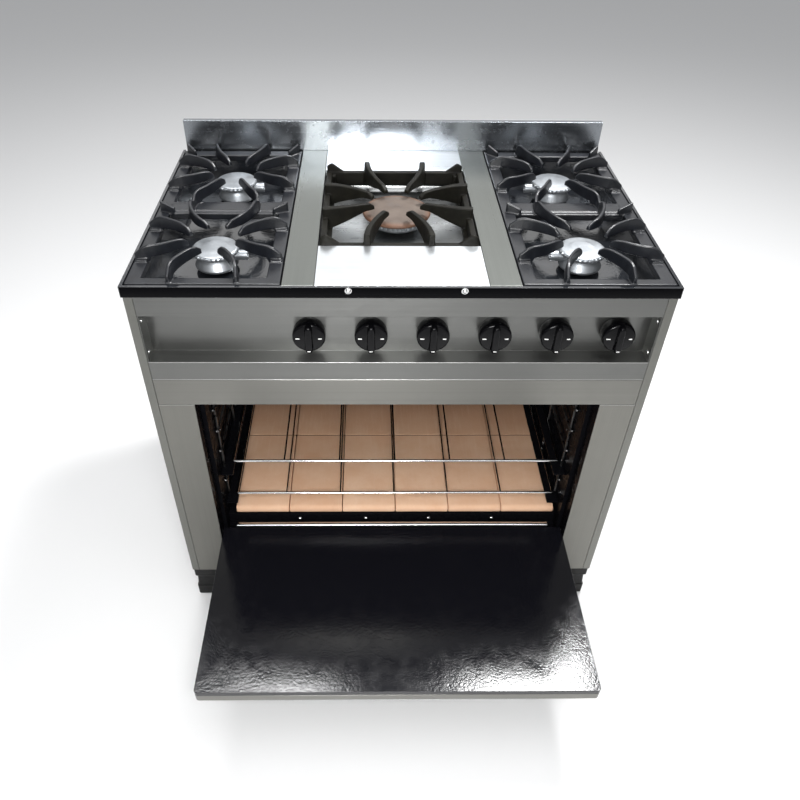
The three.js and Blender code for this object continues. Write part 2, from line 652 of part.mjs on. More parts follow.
function ovenRoof() {
  const z = OVEN_TOP_Z + GAP;
  return block([-OVEN_X - OVEN_T, OVEN_X + OVEN_T], [OVEN_FRONT_Y, OVEN_BACK_Y + OVEN_T],
    [z, z + OVEN_T]);
}

// Floor under the bricks: it steps down in front of them into a channel with a raised lip.
function ovenFloor() {
  const x = [-OVEN_X + GAP, OVEN_X - GAP];
  const apron = [BRICK_Y, BRICK_Y + OVEN_T];
  const floor = block(x, [BRICK_Y, OVEN_BACK_Y - GAP], [OVEN_FLOOR_Z - OVEN_T, OVEN_FLOOR_Z]);
  const step = block(x, apron, [SILL_Z, OVEN_FLOOR_Z]);
  const channel = block(x, [OVEN_FRONT_Y, apron[1]], [SILL_Z, SILL_Z + OVEN_T]);
  const lip = block([-SILL_LIP.x, SILL_LIP.x], [OVEN_FRONT_Y, OVEN_FRONT_Y + SILL_LIP.w],
    [SILL_Z + OVEN_T / 2, SILL_LIP.topZ]);
  return join([floor, step, channel, lip]);
}

// A firebrick; the front row has a bull-nosed edge at the oven mouth.
function brick(column, row) {
  const x0 = LOAD_X + (column - 3) * BRICK_PITCH + BRICK.joint / 2;
  const y0 = BRICK_Y + row * (BRICK.l + BRICK.joint);
  const z0 = OVEN_FLOOR_Z + GAP;
  const z1 = z0 + BRICK.h;
  const [over, under] = row === 0 ? [10, 9.5] : [2, 2];
  const chord = 1 - Math.SQRT1_2;
  const section = [[y0 + under, z0], [y0 + BRICK.l, z0], [y0 + BRICK.l, z1], [y0 + over, z1],
    [y0 + over * chord, z1 - over * chord], [y0, z1 - over], [y0, z0 + under],
    [y0 + under * chord, z0 + under * chord]];
  return runAlongX(section, x0, x0 + BRICK.w);
}

// A wire oven rack: a border and five wires from front to back.
function wireRack(z, y0) {
  const y1 = RACK_REAR_Y;
  const wireShift = -3; // the lengthwise wires are not quite central in the border
  const pieces = [
    ...[y0, y1].map((y) => rodAlongX(-RACK_X - RACK_WIRE, RACK_X + RACK_WIRE, y, z, RACK_WIRE, 8)),
    ...[-RACK_X, RACK_X].map((x) => rodAlongY(x, y0, y1, z, RACK_WIRE, 8)),
  ];
  for (let i = -2; i <= 2; i += 1) {
    pieces.push(rodAlongY(wireShift + i * RACK_PITCH, y0, y1, z, 2, 6));
  }
  return join(pieces).translate(LOAD_X, 0, 0);
}

// T-shaped tube burner under the oven floor.
function ovenBurner() {
  const z = 150;
  const stem = rodAlongY(0, 60, 500, z, 20, 16);
  const tee = rodAlongX(-220, 220, 300, z, 14, 12);
  return join([stem, tee]);
}

// ---------------------------------------------------------------- door
// Plan outline of the door, inset all round, with its two far corners rounded.
function doorOutline(inset) {
  const r = DOOR_CORNER_R - inset;
  const x = DOOR_W / 2 - inset;
  const y0 = DOOR_FAR_Y + inset;
  const y1 = DOOR_NEAR_Y - inset;
  const shape = new THREE.Shape();
  shape.moveTo(x, y1);
  shape.lineTo(-x, y1);
  shape.lineTo(-x, y0 + r);
  shape.absarc(-x + r, y0 + r, r, Math.PI, 1.5 * Math.PI, false);
  shape.absarc(x - r, y0 + r, r, 1.5 * Math.PI, 2 * Math.PI, false);
  shape.closePath();
  return shape;
}

// Clearance round the hinge pins in the sides of the door, up to a given height.
function hingeNotches(z0, z1) {
  return [-1, 1].map((side) =>
    block(inOrder(side * (DOOR_W / 2 - 14), side * (DOOR_W / 2 + 2)),
      [HINGE_Y - HINGE_PIN_R - 2, DOOR_NEAR_Y + 2], [z0, z1]));
}

// Outer stainless pan of the door, open towards the oven.
function doorSkin() {
  const rimZ = DOOR_TOP_Z - LINER_RIM - GAP;
  const body = raise(doorOutline(0), DOOR_OUTER_Z, rimZ);
  const hollow = raise(doorOutline(SHEET), DOOR_OUTER_Z + SHEET, rimZ + 5);
  return cut(body, [hollow, ...hingeNotches(HINGE_Z - HINGE_PIN_R - 2, rimZ + 5)]);
}

// Inner enamelled pan, its rim standing on the rim of the skin.
function doorLiner() {
  const rimZ = DOOR_TOP_Z - LINER_RIM;
  const body = raise(doorOutline(0), rimZ, DOOR_TOP_Z);
  const under = raise(doorOutline(SHEET), rimZ - 5, DOOR_TOP_Z - SHEET);
  return cut(body, [under, ...hingeNotches(rimZ - 5, HINGE_Z + HINGE_PIN_R + 2)]);
}

// Bar handle under the open door: the front handle when the door is shut.
function doorHandle() {
  const y = DOOR_FAR_Y + HANDLE.fromEdge;
  const z = DOOR_OUTER_Z - HANDLE.below;
  const bar = rodAlongX(-HANDLE.halfL, HANDLE.halfL, y, z, HANDLE.r, 16);
  const posts = grown([-HANDLE.halfL, HANDLE.halfL], -HANDLE.postInset).map((x) =>
    rodAlongZ(x, y, z, DOOR_OUTER_Z - GAP, HANDLE.postR, 12));
  return join([bar, ...posts]);
}

// Hinge plate inside the door with the pin that sits in the column.
function doorHinge() {
  const x = -DOOR_W / 2 + SHEET + GAP;
  const plate = block([x, x + 3], [HINGE_Y - 34, DOOR_NEAR_Y - 4],
    [DOOR_OUTER_Z + 3, DOOR_TOP_Z - 3]);
  const pin = rodAlongX(-OPENING_X - 6, x + 1, HINGE_Y, HINGE_Z, HINGE_PIN_R);
  return join([plate, pin]);
}

// ---------------------------------------------------------------- legs
function roundedSquare(x, y, half, r) {
  const shape = new THREE.Shape();
  shape.absarc(x + half - r, y + half - r, r, 0, Math.PI / 2, false);
  shape.absarc(x - half + r, y + half - r, r, Math.PI / 2, Math.PI, false);
  shape.absarc(x - half + r, y - half + r, r, Math.PI, 1.5 * Math.PI, false);
  shape.absarc(x + half - r, y - half + r, r, 1.5 * Math.PI, 2 * Math.PI, false);
  return shape;
}

// A square leg in three steps: foot, waist and collar.
function leg(x, y) {
  const steps = [[0, 30, 31], [29, 67, 27.5], [66, LEG_Z, 31]];
  return join(steps.map(([z0, z1, half]) => raise(roundedSquare(x, y, half, 5), z0, z1, 3)));
}

// ---------------------------------------------------------------- assembly
function addBody() {
  addPair('side_panel', sidePanel(), 'stainless');
  addPair('front_column', frontColumn(), 'stainless');
  addPiece('header_panel', headerPanel(), 'stainless');
  addPiece('control_panel', controlPanel(), 'stainless');
  addPiece('base_panel', basePanel(), 'stainless');
  addPiece('back_panel', backPanel(), 'galvanised');
  for (const [side, x] of [['left', -LEG_X], ['right', LEG_X]]) {
    addPiece(`leg_front_${side}`, leg(x, LEG_INSET), 'legBlack');
    addPiece(`leg_rear_${side}`, leg(x, BODY_DEPTH - LEG_INSET), 'legBlack');
  }
}

function addWorktop() {
  const edgeY = -BAND_OVERHANG + BAND_T + 1;
  const deckRear = DECK_DEPTH - GAP;
  const plateX = grown([-STRIP_X.inner, STRIP_X.inner], -GAP);
  const strip = deckPlate([-STRIP_X.outer, -STRIP_X.inner], [edgeY, deckRear]);
  addPiece('worktop_pan', worktopPan(), 'enamel');
  addPair('deck_strip', strip, 'stainless');
  addPiece('infill_plate_front', deckPlate(plateX, [edgeY, WELL_Y.front]), 'polished');
  addPiece('infill_plate_rear', deckPlate(plateX, [WELL_Y.rear, deckRear]), 'polished');
  addPiece('backsplash', backsplash(), 'stainless');
}

function addBurners() {
  const grate = sideGrate();
  addPiece('grate_left', grate.clone().translate(-GRATE_X, 0, 0), 'castGrey');
  addPiece('grate_right', grate.clone().translate(GRATE_X, 0, 0), 'castGrey');
  addPiece('grate_center', centerGrate(), 'castBlack');
  for (const place of burnerPlaces()) {
    const geometry = place.x === 0 ? centerBurner(place) : sideBurner(place);
    addPiece(place.name, geometry, 'aluminium');
  }
  addPiece('burner_cap_center', burnerCap(), 'burntCap');
  addPiece('center_tray', centerTray(), 'polished');
  addPiece('gas_manifold', gasManifold(), 'brass');
  for (let i = 0; i < KNOB_COUNT; i += 1) {
    addPiece(`knob_${i + 1}`, knob(knobX(i)), 'plastic');
  }
}

function addOven() {
  addPair('oven_side', ovenSide(), 'enamel');
  addPiece('oven_back', ovenBack(), 'enamel');
  addPiece('oven_roof', ovenRoof(), 'enamel');
  addPiece('oven_floor', ovenFloor(), 'enamel');
  addPiece('oven_burner', ovenBurner(), 'aluminium');
  ['front', 'rear'].forEach((place, row) => {
    for (let column = 0; column < 6; column += 1) {
      addPiece(`brick_${place}_${column + 1}`, brick(column, row), 'brick');
    }
  });
  addPiece('rack_lower', wireRack(RACK_Z.lower, RACK_Y.lower), 'chrome');
  addPiece('rack_upper', wireRack(RACK_Z.upper, RACK_Y.upper), 'chrome');
}

function addDoor() {
  addPiece('door_skin', doorSkin(), 'stainless');
  addPiece('door_liner', doorLiner(), 'enamel');
  addPiece('door_handle', doorHandle(), 'stainless');
  addPair('door_hinge', doorHinge(), 'galvanised');
}

addBody();
addWorktop();
addBurners();
addOven();
addDoor();

export default range;
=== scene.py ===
"""A commercial gas range: five burners under cast grates over a brick-floored oven, door open.

Metres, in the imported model's frame: +Z up, the front faces -Y, the origin on the floor.
"""
import json
import math
import random

import bmesh
import bpy
from mathutils import Matrix, Vector, noise


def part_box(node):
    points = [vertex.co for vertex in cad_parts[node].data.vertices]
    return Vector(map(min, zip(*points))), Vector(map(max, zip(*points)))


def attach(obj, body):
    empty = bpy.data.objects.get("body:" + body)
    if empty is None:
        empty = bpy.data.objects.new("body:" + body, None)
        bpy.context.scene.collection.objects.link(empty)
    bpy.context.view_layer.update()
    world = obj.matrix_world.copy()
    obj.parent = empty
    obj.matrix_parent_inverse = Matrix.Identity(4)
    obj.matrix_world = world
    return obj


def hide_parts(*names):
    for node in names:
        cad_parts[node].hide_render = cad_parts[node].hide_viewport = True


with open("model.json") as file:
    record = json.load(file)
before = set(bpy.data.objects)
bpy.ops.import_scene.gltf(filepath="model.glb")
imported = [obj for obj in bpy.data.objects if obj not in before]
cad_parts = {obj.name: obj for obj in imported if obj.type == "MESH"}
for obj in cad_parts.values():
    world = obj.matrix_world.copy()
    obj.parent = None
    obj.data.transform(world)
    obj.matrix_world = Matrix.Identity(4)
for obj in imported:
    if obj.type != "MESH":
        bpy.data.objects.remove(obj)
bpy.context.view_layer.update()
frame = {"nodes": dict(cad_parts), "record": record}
MM = 0.001

# ---- driving places, from the frame
BAND_LO, BAND_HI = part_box("worktop_pan")
DECK_Z = BAND_HI.z
FRONT_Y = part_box("header_panel")[0].y  # front face of the body
BAND_Y = BAND_LO.y  # front face of the worktop band
RECESS_BACK_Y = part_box("control_panel")[1].y - 1.5 * MM
PANEL_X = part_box("control_panel")[1].x
REAR_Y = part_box("back_panel")[1].y
BRICK_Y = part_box("brick_front_1")[0].y  # front of the bricks, and of the step under them
FOLD_ZS = (814.6 * MM, 682.6 * MM, 644.9 * MM)  # bends of the control panel and header
HEAD_INSET = 41 * MM  # a side burner's axis from the sides of its box
GUIDE_ZS = (0.306, 0.394, 0.450, 0.506)  # rungs of the rack guides
RIVET_ZS = (0.285, 0.42, 0.545)
RACK_PITCH = 117.5 * MM  # between the long wires of a rack


# ---- material building blocks
class Shade:
    """One principled node material, and short calls that wire textures into it."""

    def __init__(self, name, **sockets):
        self.material = bpy.data.materials.new(name)
        self.material.use_nodes = True
        self.tree = self.material.node_tree
        self.bsdf = self.tree.nodes["Principled BSDF"]
        self.coords = self.tree.nodes.new("ShaderNodeTexCoord").outputs["Object"]
        for key, value in sockets.items():
            self.bsdf.inputs[key.replace("_", " ")].default_value = value

    def new(self, kind, inputs=None, **settings):
        node = self.tree.nodes.new(kind)
        for key, value in settings.items():
            setattr(node, key, value)
        for key, value in (inputs or {}).items():
            if isinstance(value, bpy.types.NodeSocket):
                self.tree.links.new(value, node.inputs[key])
            else:
                node.inputs[key].default_value = value
        return node

    def stretched(self, stretch):
        values = {"Vector": self.coords, "Scale": stretch}
        return self.new("ShaderNodeMapping", values).outputs["Vector"]

    def noise(self, scale, detail=3.0, rough=0.55, stretch=(1, 1, 1), distortion=0.0):
        values = {"Vector": self.stretched(stretch), "Scale": scale, "Detail": detail,
                  "Roughness": rough, "Distortion": distortion}
        return self.new("ShaderNodeTexNoise", values).outputs["Fac"]

    def cells(self, scale):
        values = {"Vector": self.coords, "Scale": scale}
        return self.new("ShaderNodeTexVoronoi", values).outputs["Distance"]

    def span(self, value, low=0.0, high=1.0, from_low=0.3, from_high=0.7):
        values = {"Value": value, "From Min": from_low, "From Max": from_high,
                  "To Min": low, "To Max": high}
        return self.new("ShaderNodeMapRange", values).outputs["Result"]

    def math(self, operation, a, b=0.0):
        return self.new("ShaderNodeMath", {0: a, 1: b}, operation=operation).outputs["Value"]

    def blend(self, factor, a, b):
        values = {0: factor, 6: rgba(a), 7: rgba(b)}
        return self.new("ShaderNodeMix", values, data_type="RGBA").outputs[2]

    def put(self, socket, value):
        self.tree.links.new(value, self.bsdf.inputs[socket])

    def bump(self, *layers):
        """Each layer is (height, strength, distance in metres); they add up."""
        normal = None
        for height, strength, distance in layers:
            values = {"Height": height, "Strength": strength, "Distance": distance}
            if normal is not None:
                values["Normal"] = normal
            normal = self.new("ShaderNodeBump", values).outputs["Normal"]
        self.put("Normal", normal)


def rgba(colour):
    """Gives a plain colour its alpha; a socket passes through."""
    return (*colour, 1.0) if isinstance(colour, tuple) and len(colour) == 3 else colour


def tint(colour, factor):
    return tuple(min(1.0, c * factor) for c in colour[:3])


# ---- materials
def brushed_steel(name, colour, rough, along="x", stretch=0.6, wave=1.0):
    """Sheet steel with a brushed grain along one axis, faint cloudiness and handling marks."""
    s = Shade(name, Metallic=1.0, Roughness=rough, Anisotropic=stretch)
    by_axis = lambda lengthwise, across: tuple(lengthwise if a == along else across for a in "xyz")
    grain = s.noise(1.0, 4.0, 0.7, by_axis(1.2, 420))
    bands = s.noise(1.0, 3.0, 0.6, by_axis(0.6, 90))
    cloud = s.noise(5.0, 4.0, 0.6)
    marks = s.noise(34.0, 6.0, 0.75, distortion=0.6)
    both = s.math("ADD", s.math("MULTIPLY", grain, 0.6), s.math("MULTIPLY", bands, 0.4))
    shade = s.blend(s.span(both), tint(colour, 0.90), tint(colour, 1.08))
    shade = s.blend(s.span(cloud, 0.0, 0.5), shade, tint(colour, 0.88))
    s.put("Base Color", shade)
    base = s.span(both, rough * 0.85, rough * 1.18)
    smear = s.span(marks, 0.0, 0.10, 0.5, 0.8)
    s.put("Roughness", s.math("ADD", base, smear))
    spread = dict(zip("XYZ", by_axis(0, 1)))
    s.put("Tangent", s.new("ShaderNodeCombineXYZ", spread).outputs["Vector"])
    s.bump((grain, 0.12, 0.00005), (cloud, 0.10 * wave, 0.0012))
    return s.material


def bright_steel(name):
    """Nearly mirror sheet that shows fine scratches and slight waviness."""
    s = Shade(name, Metallic=1.0, Roughness=0.16)
    colour = (0.86, 0.87, 0.88)
    fine = s.noise(1.0, 3.0, 0.6, (500, 5, 500))
    cloud = s.noise(7.0, 3.0, 0.6)
    s.put("Base Color", s.blend(s.span(cloud), tint(colour, 0.94), colour))
    s.put("Roughness", s.math("ADD", s.span(fine, 0.10, 0.22), s.span(cloud, 0.0, 0.06)))
    s.bump((fine, 0.12, 0.00004), (cloud, 0.12, 0.0015))
    return s.material


def galvanised(name):
    s = Shade(name, Metallic=1.0, Roughness=0.45)
    flakes = s.cells(70.0)
    cloud = s.noise(9.0, 4.0)
    mixed = s.math("ADD", s.math("MULTIPLY", flakes, 0.7), s.math("MULTIPLY", cloud, 0.5))
    s.put("Base Color", s.blend(s.span(mixed), (0.42, 0.43, 0.45), (0.62, 0.63, 0.64)))
    s.put("Roughness", s.span(mixed, 0.36, 0.6))
    s.bump((flakes, 0.08, 0.0003))
    return s.material


def black_enamel(name, peel, colour, rough, shine, ior=1.5):
    """Glossy vitreous enamel with an orange peel skin and a little dust."""
    s = Shade(name, Roughness=rough, IOR=ior, Specular_IOR_Level=shine)
    ripple = s.noise(210.0, 2.0, 0.5)
    swell = s.noise(46.0, 2.0, 0.5)
    dust = s.noise(900.0, 4.0, 0.8)
    s.put("Base Color", s.blend(s.span(dust, 0.0, 1.0, 0.70, 0.84), colour, (0.08, 0.08, 0.085)))
    s.put("Roughness", s.span(swell, rough * 0.8, rough * 1.5))
    s.bump((ripple, peel, 0.0010), (swell, peel * 0.6, 0.0020))
    return s.material


def cast_metal(name, dark, light, rough, grain=0.35, worn=None, shine=0.5):
    """Sand-cast metal: pitted, mottled, with brighter worn high spots."""
    s = Shade(name, Roughness=rough, Specular_IOR_Level=shine)
    pits = s.noise(520.0, 4.0, 0.7)
    lumps = s.noise(60.0, 4.0, 0.6)
    shade = s.blend(s.span(lumps), dark, light)
    if worn:
        shade = s.blend(s.span(pits, 0.0, 0.5, 0.55, 0.8), shade, worn)
    s.put("Base Color", shade)
    s.put("Roughness", s.span(pits, rough * 0.8, rough * 1.25))
    s.bump((pits, grain, 0.0005), (lumps, grain * 0.6, 0.0020))
    return s.material


def burner_aluminium(name):
    s = Shade(name, Metallic=0.9, Roughness=0.38)
    grain = s.noise(420.0, 5.0, 0.7)
    cloud = s.noise(26.0, 4.0, 0.6)
    stain = s.noise(14.0, 5.0, 0.65, distortion=0.8)
    shade = s.blend(s.span(cloud), (0.30, 0.32, 0.34), (0.50, 0.525, 0.55))
    shade = s.blend(s.span(stain, 0.0, 0.55, 0.56, 0.74), shade, (0.19, 0.18, 0.165))
    s.put("Base Color", shade)
    s.put("Roughness", s.span(grain, 0.28, 0.55))
    s.bump((grain, 0.25, 0.0003), (cloud, 0.2, 0.0008))
    return s.material


def burnt_cap(name, centre, radius):
    """Heat-browned cap: tan face, darker mottling and a rusty rim."""
    s = Shade(name, Metallic=0.1, Roughness=0.55, Specular_IOR_Level=0.3)
    place = s.new("ShaderNodeMapping", {"Vector": s.coords,
                                        "Location": (-centre.x, -centre.y, 0.0)})
    flat = s.new("ShaderNodeVectorMath", {0: place.outputs["Vector"], 1: (1.0, 1.0, 0.0)},
                 operation="MULTIPLY")
    away = s.new("ShaderNodeVectorMath", {0: flat.outputs["Vector"]}, operation="LENGTH")
    mottle = s.noise(42.0, 5.0, 0.65)
    speck = s.noise(420.0, 4.0, 0.7)
    tan = s.blend(s.span(mottle), (0.085, 0.064, 0.052), (0.135, 0.108, 0.090))
    edge = s.span(away.outputs["Value"], 0.0, 1.0, radius * 0.80, radius * 0.99)
    ragged = s.math("MULTIPLY", edge, s.span(mottle, 0.4, 1.0))
    shade = s.blend(ragged, tan, (0.14, 0.060, 0.030))
    shade = s.blend(s.span(speck, 0.0, 0.45, 0.6, 0.8), shade, (0.09, 0.058, 0.045))
    s.put("Base Color", shade)
    s.put("Roughness", s.span(mottle, 0.42, 0.7))
    s.bump((speck, 0.3, 0.0003), (mottle, 0.25, 0.0010))
    return s.material


def firebrick(name):
    """Sandy terracotta: mottled, speckled, with drag lines, darker towards the oven's back."""
    s = Shade(name, Roughness=0.95, Specular_IOR_Level=0.2)
    cloud = s.noise(17.0, 5.0, 0.6)
    sand = s.noise(650.0, 3.0, 0.7)
    grit = s.cells(430.0)
    drag = s.noise(1.0, 4.0, 0.7, (190, 12, 190))
    own = s.new("ShaderNodeObjectInfo").outputs["Random"]
    light, warm, deep = (0.84, 0.575, 0.395), (0.76, 0.465, 0.295), (0.54, 0.29, 0.17)
    shade = s.blend(s.span(cloud), warm, light)
    shade = s.blend(s.math("MULTIPLY", own, 0.30), shade, deep)
    depth = s.new("ShaderNodeSeparateXYZ", {"Vector": s.coords}).outputs["Y"]
    rear = s.span(depth, 0.0, 0.90, 0.02, 0.30)
    shade = s.blend(rear, shade, (0.30, 0.155, 0.085))
    shade = s.blend(s.span(drag, 0.0, 0.10, 0.5, 0.75), shade, (0.84, 0.66, 0.52))
    shade = s.blend(s.span(sand, 0.0, 0.35, 0.6, 0.8), shade, (0.40, 0.24, 0.16))
    shade = s.blend(s.span(grit, 0.20, 0.0, 0.0, 0.25), shade, (0.86, 0.72, 0.60))
    s.put("Base Color", shade)
    s.bump((sand, 0.5, 0.0006), (drag, 0.12, 0.0005), (cloud, 0.3, 0.0015))
    return s.material


def bright_chrome(name, bright=0.86, rough=0.15):
    s = Shade(name, Metallic=1.0, Roughness=rough)
    cloud = s.noise(80.0, 4.0)
    s.put("Base Color", s.blend(s.span(cloud), (bright * 0.76,) * 3, (bright,) * 3))
    s.put("Roughness", s.span(cloud, rough * 0.4, rough * 1.6))
    return s.material


def gloss_black(name):
    """Moulded phenolic: deep gloss with very slight waviness and a few fine scuffs."""
    s = Shade(name, Roughness=0.10, Specular_IOR_Level=0.16)
    wave = s.noise(70.0, 2.0)
    scuff = s.noise(300.0, 6.0, 0.8, (1, 1, 3))
    s.put("Base Color", s.blend(s.span(scuff, 0.0, 1.0, 0.6, 0.85), (0.002, 0.002, 0.0025),
                                (0.03, 0.03, 0.03)))
    s.put("Roughness", s.span(scuff, 0.08, 0.26, 0.45, 0.8))
    s.bump((wave, 0.15, 0.0004))
    return s.material


def satin_black(name):
    s = Shade(name, Roughness=0.5, IOR=1.3)
    skin = s.noise(380.0, 3.0)
    dust = s.noise(40.0, 5.0, 0.7)
    s.put("Base Color", s.blend(s.span(dust), (0.004, 0.004, 0.0045),
                                (0.011, 0.0105, 0.010)))
    s.put("Roughness", s.span(skin, 0.38, 0.65))
    s.bump((skin, 0.2, 0.0003))
    return s.material


def satin_white(name):
    s = Shade(name, Roughness=0.4)
    wear = s.noise(700.0, 4.0, 0.7)
    s.put("Base Color", s.blend(s.span(wear, 0.0, 0.5, 0.5, 0.8), (0.80, 0.80, 0.78),
                                (0.35, 0.35, 0.34)))
    s.bump((wear, 0.2, 0.0002))
    return s.material


def brass(name):
    s = Shade(name, Metallic=1.0, Roughness=0.3)
    turned = s.noise(1.0, 3.0, 0.6, (40, 600, 40))
    tarnish = s.noise(30.0, 5.0, 0.65)
    s.put("Base Color", s.blend(s.span(tarnish), (0.34, 0.24, 0.10), (0.68, 0.50, 0.22)))
    s.put("Roughness", s.span(turned, 0.22, 0.46))
    s.bump((turned, 0.2, 0.0001))
    return s.material


# ---- mesh building blocks
def linked(name, data):
    """A new object in the scene."""
    obj = bpy.data.objects.new(name, data)
    bpy.context.scene.collection.objects.link(obj)
    return obj


def make_object(name, bm, material, sharp=40.0, body="range"):
    """Turns a bmesh into a piece: normals out, smooth with sharp edges, riding on a body."""
    bmesh.ops.recalc_face_normals(bm, faces=bm.faces)
    mesh = bpy.data.meshes.new(name)
    bm.to_mesh(mesh)
    bm.free()
    mesh.shade_smooth()
    mesh.set_sharp_from_angle(angle=math.radians(sharp))
    mesh.materials.append(material)
    obj = linked(name, mesh)
    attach(obj, body)
    return obj


def applied(obj):
    """Bakes an object's modifiers into its mesh."""
    graph = bpy.context.evaluated_depsgraph_get()
    mesh = bpy.data.meshes.new_from_object(obj.evaluated_get(graph))
    obj.modifiers.clear()
    old = obj.data
    obj.data = mesh
    bpy.data.meshes.remove(old)


NODE_BODY = {node: body for body, nodes in frame["record"]["behaviour"]["bodies"].items()
             for node in nodes}


def refined(node, material, width, segments=2):
    """Stands for a CAD node: the same solid with its edges rounded."""
    bm = bmesh.new()
    bm.from_mesh(frame["nodes"][node].data)
    bmesh.ops.remove_doubles(bm, verts=bm.verts, dist=1e-6)
    bmesh.ops.dissolve_limit(bm, angle_limit=math.radians(1.0), verts=bm.verts, edges=bm.edges)
    edges = [e for e in bm.edges
             if len(e.link_faces) == 2 and e.calc_face_angle(0.0) > math.radians(38)]
    bmesh.ops.bevel(bm, geom=edges, offset=width, segments=segments, profile=0.5,
                    affect="EDGES", clamp_overlap=True)
    piece = make_object(f"{node}_skin", bm, material, 40.0, NODE_BODY[node])
    normals = piece.modifiers.new("normals", "WEIGHTED_NORMAL")
    normals.keep_sharp = True
    normals.weight = 90
    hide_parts(node)


def stand_in(node, suffix, bm, material, sharp=40.0):
    """Stands for a CAD node with a shape of its own, on that node's body."""
    piece = make_object(f"{node}_{suffix}", bm, material, sharp, NODE_BODY[node])
    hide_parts(node)


def add_box(bm, corner, opposite, bevel=0.0):
    """A box between two opposite corners, given in any order."""
    a, b = Vector(corner), Vector(opposite)
    made = bmesh.ops.create_cube(bm, size=1.0)["verts"]
    bmesh.ops.scale(bm, vec=[abs(size) for size in b - a], verts=made)
    bmesh.ops.translate(bm, vec=(a + b) / 2, verts=made)
    if bevel:
        edges = list({e for v in made for e in v.link_edges})
        bmesh.ops.bevel(bm, geom=edges, offset=bevel, segments=2, profile=0.5,
                        affect="EDGES", clamp_overlap=True)


def circle(count):
    """Angles of evenly spaced points round a circle."""
    return [2 * math.pi * k / count for k in range(count)]


def add_rings(bm, rings, closed_ends=True, cyclic=False):
    """Skins a list of equal-length rings of points into a tube."""
    loops = [[bm.verts.new(p) for p in ring] for ring in rings]
    count = len(loops[0])
    pairs = list(zip(loops, loops[1:]))
    if cyclic:
        pairs.append((loops[-1], loops[0]))
    for a, b in pairs:
        for k in range(count):
            n = (k + 1) % count
            bm.faces.new((a[k], a[n], b[n], b[k]))
    if closed_ends and not cyclic:
        bm.faces.new(loops[0][::-1])
        bm.faces.new(loops[-1])
    return loops


def add_turned(bm, profile, centre, axis="z", segments=64):
    """A solid of revolution from (radius, height) points; it starts and ends on the axis."""
    turn = {"z": Matrix.Identity(3), "y": Matrix.Rotation(math.radians(90), 3, "X"),
            "x": Matrix.Rotation(math.radians(90), 3, "Y")}[axis]
    place = lambda r, h, a: Vector(centre) + turn @ Vector((r * math.cos(a), r * math.sin(a), h))
    rows = [[place(r, h, a) for a in circle(segments)] for r, h in profile if r > 1e-9]
    loops = add_rings(bm, rows, closed_ends=False)
    for ring, height in ((loops[0], profile[0][1]), (loops[-1], profile[-1][1])):
        tip = bm.verts.new(place(0.0, height, 0.0))
        for k in range(segments):
            bm.faces.new((ring[k], ring[(k + 1) % segments], tip))


def bezier(a, b, c, t):
    return a * (1 - t) ** 2 + b * 2 * t * (1 - t) + c * t * t


def filleted(points, radius, steps=5, cyclic=False, share=math.inf):
    """A polyline with rounded corners, whose arcs take at most a share of the sides beside them."""
    pts = [Vector(p) for p in points]
    count = len(pts)
    out = [] if cyclic else [pts[0]]
    for i in range(0 if cyclic else 1, count if cyclic else count - 1):
        p, a, b = pts[i], pts[i - 1], pts[(i + 1) % count]
        reach = min(radius, (a - p).length * share, (b - p).length * share)
        start = p + (a - p).normalized() * reach
        end = p + (b - p).normalized() * reach
        out += [bezier(start, p, end, k / steps) for k in range(steps + 1)]
    return out if cyclic else [*out, pts[-1]]


def rounded_profile(points, radius, steps=4):
    """Rounds the inner corners of an open (r, h) outline with short arcs."""
    return [tuple(q) for q in filleted(points, radius, steps, share=0.45)]


def add_wire(bm, points, radius, sides=12, cyclic=False):
    """A round wire along a list of points."""
    pts = [Vector(p) for p in points]
    count = len(pts)
    rings = []
    side = None
    for i, p in enumerate(pts):
        ahead = pts[(i + 1) % count] if cyclic or i < count - 1 else p
        back = pts[i - 1] if cyclic or i > 0 else p
        along = (ahead - back).normalized()
        if side is None:
            side = along.orthogonal().normalized()
        side = (side - along * side.dot(along)).normalized()
        other = along.cross(side)
        rings.append([p + (side * math.cos(a) + other * math.sin(a)) * radius
                      for a in circle(sides)])
    add_rings(bm, rings, cyclic=cyclic)


def add_dome(bm, centre, axis, radius, height, washer=True, segments=24):
    """A dome head on a thin washer, facing along an axis such as (0, -1, 0)."""
    turn = Vector((0, 0, 1)).rotation_difference(Vector(axis)).to_matrix()
    profile = [(0.0, 0.0)]
    if washer:
        profile += [(radius * 1.35, 0.0), (radius * 1.35, height * 0.18), (radius, height * 0.2)]
    else:
        profile += [(radius, 0.0)]
    for k in range(1, 6):
        a = math.radians(90 * k / 6)
        profile.append((radius * math.cos(a), height * (0.2 + 0.8 * math.sin(a))))
    profile.append((0.0, height))
    start = len(bm.verts)
    add_turned(bm, profile, (0, 0, 0), "z", segments)
    bm.verts.ensure_lookup_table()
    place = Matrix.Translation(centre) @ turn.to_4x4()
    bmesh.ops.transform(bm, matrix=place, verts=bm.verts[start:])


def add_domes(name, spots, radius, height, material):
    """One piece of many dome heads; each spot is (place, axis)."""
    bm = bmesh.new()
    for place, axis in spots:
        add_dome(bm, place, axis, radius, height)
    make_object(name, bm, material)


def scaled(points):
    """Millimetre pairs in metres."""
    return [(a * MM, b * MM) for a, b in points]
